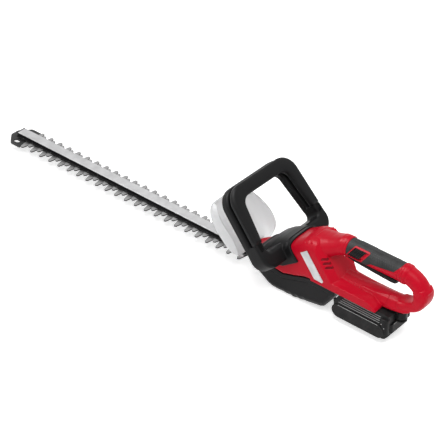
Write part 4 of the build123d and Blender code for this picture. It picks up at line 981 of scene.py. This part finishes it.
# blade bar: a narrow pale rail on a black bar with a wider foot, closed off by the tip protector
bar = {
    "half": 9.2, "low": 24.65, "top": 30.4, "railTop": 32.0, "railLift": 0.02, "footHalf": 13.4, "footTop": 26.3,
    # the eased corners of the bar's section: at the foot, and where the foot meets the bar
    "footEase": 0.5, "rootEase": (0.4, 0.5), "rear": -118.0, "front": 455.0,
    # a rivet's height over the foot and radius, its place aside, and the row that they stand in
    "rivet": [(-0.3, 1.1), (0.21, 1.1), (0.35, 0.66)], "rivetSide": 11.9, "rivetFirst": 438.0, "rivetStep": 24.0,
    "rivetCount": 20,
    "gap": 0.15, "lip": 2.4, "lipGrow": (0.3, 0.2, 0.1), "plate": (16.25, 19.4), "blockSink": 0.4, "block": 440.0,
    # the tip plate seen from above, on one side
    "tail": 433.0, "shoulder": 456.0, "nose": 475.0, "noseHalf": 9.0, "tipHalf": 29.0,
    "tipCorners": [0.5, 7, 9, 9, 7, 0.5], "holeX": 450.6, "holeY": 17.4, "holeLong": 13.0, "holeWide": 8.6,
    "holeRound": 0.96, "holeOver": 2,
}


def turned(name, x, y, rows, power, count):
    # a form turned round an upright axis, from rows of z and radius
    return loft(name, [superRing((x, y, z), axisX, axisY, r, r, power, count) for z, r in rows])


def makeSpine():
    half, wide, ease, (rootOut, rootUp) = bar["half"], bar["footHalf"], bar["footEase"], bar["rootEase"]
    side = [(wide, bar["low"]), (wide, bar["footTop"] - ease), (wide - ease, bar["footTop"]),
            (half + rootOut, bar["footTop"]), (half, bar["footTop"] + rootUp), (half, bar["top"])]
    section = side + [(-y, z) for y, z in reversed(side)]
    return loft("barForm", [[(x, y, z) for y, z in section] for x in (bar["rear"], bar["front"])])


def makeRivets():
    rows = [(bar["footTop"] + d, r) for d, r in bar["rivet"]]
    return gather("barRivets", [turned("rivet", bar["rivetFirst"] - bar["rivetStep"] * i, y, rows, 2, 14)
                                for i in range(bar["rivetCount"]) for y in (-bar["rivetSide"], bar["rivetSide"])])


def makeTip():
    wide, nose, low, high = bar["tipHalf"], bar["noseHalf"], *bar["plate"]
    side = [(bar["tail"], wide), (bar["shoulder"], wide), (bar["nose"], nose)]
    plan = roundCorners([(x, -y) for x, y in side] + side[::-1], bar["tipCorners"], 6)
    tip = flatForm("tipPlate", plan, low, high)
    x, a, b, over = bar["holeX"], bar["holeLong"] / 2, bar["holeWide"] / 2, bar["holeOver"]
    for y in (-bar["holeY"], bar["holeY"]):
        slot = roundCorners([(x - a, y - b), (x + a, y - b), (x + a, y + b), (x - a, y + b)], b * bar["holeRound"], 8)
        carve(tip, flatForm("tipHole", slot, low - over, high + over))
    edge, end = bar["front"] + bar["gap"], bar["front"] + bar["gap"] + bar["lip"]
    out, up, over = bar["lipGrow"]
    for part in (beam("tipBlock", bar["half"], high - bar["blockSink"], bar["low"] - bar["gap"], bar["block"], end),
                 beam("tipLip", bar["half"] + out, low + up, bar["railTop"] + over, edge, end)):
        carve(tip, part, "UNION")
    return tip


spine = makeSpine()
rail = beam("railForm", bar["half"], bar["top"] + bar["railLift"], bar["railTop"], bar["rear"], bar["front"])
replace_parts(finishPiece(spine, materials["barBlack"], "root", bevel=0.25), "support_bar")
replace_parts(finishPiece(rail, materials["railMetal"], "root", bevel=0.4), "guide_rail")
finishPiece(makeRivets(), materials["gripMark"], "root")
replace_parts(finishPiece(makeTip(), materials["tipNylon"], "root", bevel=0.6), "tip_protector")
print("blade bar made")

# trigger paddle: rounded below, seated in its slot above
trigger = {
    # x, low, high, half width
    "stations": [(-308.0, 119.0, 122.6, 5.0), (-309.6, 116.4, 125.4, 6.6), (-314, 114.2, 126.2, 7.4),
                 (-324, 111.8, 124.8, 7.4), (-345, 110.2, 121.6, 7.4), (-375, 108.2, 117.6, 7.4),
                 (-400, 106.8, 116.6, 7.4), (-407.0, 107.4, 116.4, 7.2), (-410.2, 110.0, 115.8, 6.2)],
    # x, z and radius of the pin's hole, and its reach to each side
    "pin": (-312.0, 122.0, 1.9, -12, 12), "square": 3.4, "count": 36,
}
paddle = loft("triggerPaddle", [superRing((x, 0, (low + high) / 2), axisY, axisZ, half, (high - low) / 2,
                                          trigger["square"], trigger["count"])
                                for x, low, high, half in trigger["stations"]])
carve(paddle, rodAcross("pinHole", *trigger["pin"]))
finishPiece(paddle, materials["blackShell"], "trigger", bevel=0.5)
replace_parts(paddle, "trigger")

# the foot that the battery slides onto: half width, low, top, rear and front of its neck, flange and seat
foot = {"neck": (12.0, 48.0, 69.5, -370.0, -318.0), "flange": (18.0, 47.0, 52.0, -370.0, -318.0),
        "seat": (27.0, 59.6, 63.0, -387.3, -318.0)}
footPiece = beam("railFoot", *foot["neck"])
for part in ("flange", "seat"):
    carve(footPiece, beam(part, *foot[part]), "UNION")
finishPiece(footPiece, materials["blackShell"], "root", bevel=0.4)
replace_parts(footPiece, "battery_foot")
print("trigger and foot made")

# battery dressing: ribs down both slopes, coloured grey as painted highlight, a pale line of painted highlight over
# each panel, a block round the release
battery = {
    # y, z of each rib on the slope, where the first starts, how much further back each next one does, and the end
    "ribs": [(32.8, 42.2), (31.6, 45.4), (30.4, 48.6), (29.2, 51.8)], "ribStart": -319.0, "ribStep": -2.6,
    "ribEnd": -401.0, "ribRadius": 0.5,
    # both ends in x, y, z and radius of the pale line of painted highlight over each panel
    "line": (-320.0, -400.0, 35.6, 38.2, 0.65), "panelBevel": 1.5,
    # the bumper behind the case, seen from above, with its low and top, and the pale rim of painted highlight along it
    "bumper": [(-402, 26.5), (-413, 26.5), (-418.6, 20), (-418.6, -20), (-413, -26.5), (-402, -26.5)],
    "bumperCorners": [0.5, 4, 4, 4, 4, 0.5], "bumperTall": (22.5, 38.6), "rim": (-418.2, 17.5, 38.7, 0.5),
    # x and y of the post at each rear corner, its z and radius from the foot up, and the screws on it as x, y, z
    "post": (-409.5, 28.6), "postRows": [(23.5, 5.8), (24.5, 6.8), (50.5, 6.8), (52.2, 5.7), (53.0, 4.2)],
    "postScrews": [(-406.0, 35.2, 43.0), (-411.6, 35.2, 37.0), (-406.4, 35.4, 31.0)],
    # how far out from its place, and the radius there, of each ring of a screw
    "screwRows": [(-0.8, 1.0), (0.2, 1.0), (0.45, 0.6)],
    # x, y and z reach of the stop at each front corner
    "stop": ((-312.5, -306.8), (24.5, 30.5), (35.5, 41.5)),
}


def makeBatteryRibs():
    end, radius = battery["ribEnd"], battery["ribRadius"]
    starts = [battery["ribStart"] + battery["ribStep"] * i for i in range(len(battery["ribs"]))]
    return gather("batteryRibs", [barAlong("rib", (x, side * y, z), (end, side * y, z), radius)
                                  for side in (-1, 1) for x, (y, z) in zip(starts, battery["ribs"])])


def makePanelHighlights():
    # pale bars of painted highlight along each panel's top edge
    x0, x1, y, z, radius = battery["line"]
    return gather("panelHighlightLines", [barAlong("line", (x0, s * y, z), (x1, s * y, z), radius) for s in (-1, 1)])


def makeBatteryRear():
    plan = roundCorners(battery["bumper"], battery["bumperCorners"], 6)
    bumper = flatForm("bumper", plan, *battery["bumperTall"])
    x, y = battery["post"]
    for side in (-1, 1):
        carve(bumper, turned("post", x, side * y, battery["postRows"], 2.4, 36), "UNION")
    return bumper


def makeRimHighlightAndScrews():
    # a pale bar of painted highlight along the bumper's top, with the screws on the posts
    x, y, z, radius = battery["rim"]
    screws = [loft("screw", [superRing((sx, side * (sy + d), sz), axisX, axisZ, r, r, 2, 14)
                             for d, r in battery["screwRows"]])
              for sx, sy, sz in battery["postScrews"] for side in (-1, 1)]
    return gather("rimHighlightAndScrews", [barAlong("rim", (x, -y, z), (x, y, z), radius)] + screws)


def makeStops():
    (x0, x1), (y0, y1), (z0, z1) = battery["stop"]
    return gather("batteryStops", [flatForm("stop", [(x0, s * y0), (x1, s * y0), (x1, s * y1), (x0, s * y1)], z0, z1)
                                   for s in (-1, 1)])


# the grey ribs, rim and panel lines are painted highlight
for piece, look, width in ((makeBatteryRear(), "blackShell", 0.6), (makeRimHighlightAndScrews(), "ribHighlightAndScrewGrey", 0),
                           (makeStops(), "blackShell", 0.8), (makeBatteryRibs(), "ribHighlightAndScrewGrey", 0),
                           (makePanelHighlights(), "panelHighlightGrey", 0)):
    finishPiece(piece, materials[look], "battery", bevel=width)
print("battery dressed")

# grip marks: a long rib on each side of the top and one along it, and a panel of slanting ribs on each side
grip = {
    # both ends in x, the radius and the angle of the long ribs
    "axis": 133.5, "radius": 16.3, "ribs": (-318.0, -408.0, 0.42, 62),
    # first and last x, and the angles between which the slanting ribs run
    "panel": (-364.0, -405.0, 26.0, 52.0), "bars": 13, "barSlant": 4.5, "barRadius": 0.38, "barSink": -0.1,
}


def onGrip(x, angle, lift=0.0):
    a, r = math.radians(angle), grip["radius"] + lift
    return (x, r * math.cos(a), grip["axis"] + r * math.sin(a))


def makeGripMarks():
    x0, x1, thick, turn = grip["ribs"]
    bars = [barAlong("gripRib", onGrip(x0, a), onGrip(x1, a), thick) for a in (turn, 180 - turn, 90)]
    first, last, low, high = grip["panel"]
    middle = (low + high) / 2
    for side in (0, 1):
        for i in range(grip["bars"]):
            x = first + (last - first) * i / (grip["bars"] - 1)
            spots = [onGrip(x + grip["barSlant"] * (a - middle) / (high - low), 180 - a if side else a, grip["barSink"])
                     for a in (low, middle, high)]
            bars += [barAlong("gripBar", p, q, grip["barRadius"], 8) for p, q in zip(spots, spots[1:])]
    return gather("gripMarks", bars)


finishPiece(makeGripMarks(), materials["gripMark"], "root")
print("grip marked")

# soft edges on the carried-over solids, each with its own width in millimetres
nodeBevels = {"lower_blade": 0.35, "upper_blade": 0.35, "battery_base": 0.9, "battery_lid": 0.8,
              "battery_panels": battery["panelBevel"], "battery_latch": 0.7, "lock_bezels": 0.4,
              "lock_off_slider": 0.35, "badges": 0.3, "grip_left": 0.5, "grip_right": 0.5}
for name, width in nodeBevels.items():
    softEdges(nodes[name], width, 38)
    nodes[name].modifiers.new("shade", "WEIGHTED_NORMAL")

# camera, light and floor, in metres
view = {"place": (-1.5448, 1.7507, 1.7274), "aim": (0.5268, -0.6142, -0.5875), "up": (0.3825, -0.4459, 0.8092),
        "lens": 134.28, "sensor": 36, "clipEnd": 30}
camera = addObject("camera", bpy.data.cameras.new("camera"))
aim, up = Vector(view["aim"]).normalized(), Vector(view["up"]).normalized()
right = aim.cross(up).normalized()
up = right.cross(aim).normalized()
camera.matrix_world = Matrix([*zip(right, up, -aim, view["place"]), (0, 0, 0, 1)])
camera.data.lens = view["lens"]
camera.data.sensor_width = view["sensor"]
camera.data.clip_end = view["clipEnd"]
bpy.context.scene.camera = camera
bpy.context.scene.view_settings.view_transform = "Standard"

# where the lamps point, how strong the ambient light is, and the floor's tone, glow and half width in millimetres
studio = {"middle": (-0.2, 0, 0.08), "ambient": 0.45, "floor": 0.93, "floorGlow": 0.58, "floorHalf": 4000}
# place, size, power, and whether matt surfaces catch it
lamps = {"keyLamp": ((-0.9, 0.5, 1.9), (1.4, 1.0), 23.0, True),
         "fillLamp": ((0.7, 1.6, 1.0), (1.6, 1.2), 8.0, True),
         "backLamp": ((-0.5, -1.6, 1.3), (1.8, 0.9), 8.0, True),
         "sheenLamp": ((0.7, 0.45, 1.6), (1.0, 1.0), 48.0, False)}
for name, (place, size, power, diffuse) in lamps.items():
    lamp = addObject(name, bpy.data.lights.new(name, "AREA"))
    lamp.data.shape = "RECTANGLE"
    lamp.data.size, lamp.data.size_y = size
    lamp.data.energy = power
    lamp.location = place
    lamp.rotation_euler = (Vector(studio["middle"]) - Vector(place)).to_track_quat("-Z", "Y").to_euler()
    lamp.visible_diffuse = diffuse


def directRays(tree):
    # one for what is seen straight, mirrored or through the guard, none for what only lights a matt surface
    path = tree.nodes.new("ShaderNodeLightPath").outputs
    return mathNode(tree, "MAXIMUM", path["Is Camera Ray"],
                    mathNode(tree, "MAXIMUM", path["Is Glossy Ray"], path["Is Transmission Ray"]))


world = bpy.data.worlds.new("studio")
bpy.context.scene.world = world
world.use_nodes = True
tree = world.node_tree
back = tree.nodes["Background"].inputs
back["Color"].default_value = (1, 1, 1, 1)
tree.links.new(rangeNode(tree, directRays(tree), 0.0, 1.0, studio["ambient"], 1.0), back["Strength"])

half, tone = studio["floorHalf"], studio["floor"]
floor = newPiece("floor", [(-half, -half, 0), (half, -half, 0), (half, half, 0), (-half, half, 0)], [(0, 1, 2, 3)])
floorMaterial, tree, shader = newMaterial("paleFloor")
for label, value in (("Base Color", (tone, tone, tone, 1)), ("Roughness", 0.9), ("Specular IOR Level", 0.1),
                     ("Emission Color", (1, 1, 1, 1))):
    shader.inputs[label].default_value = value
tree.links.new(mathNode(tree, "MULTIPLY", directRays(tree), studio["floorGlow"]), shader.inputs["Emission Strength"])
floor.data.materials.append(floorMaterial)
print("studio set")
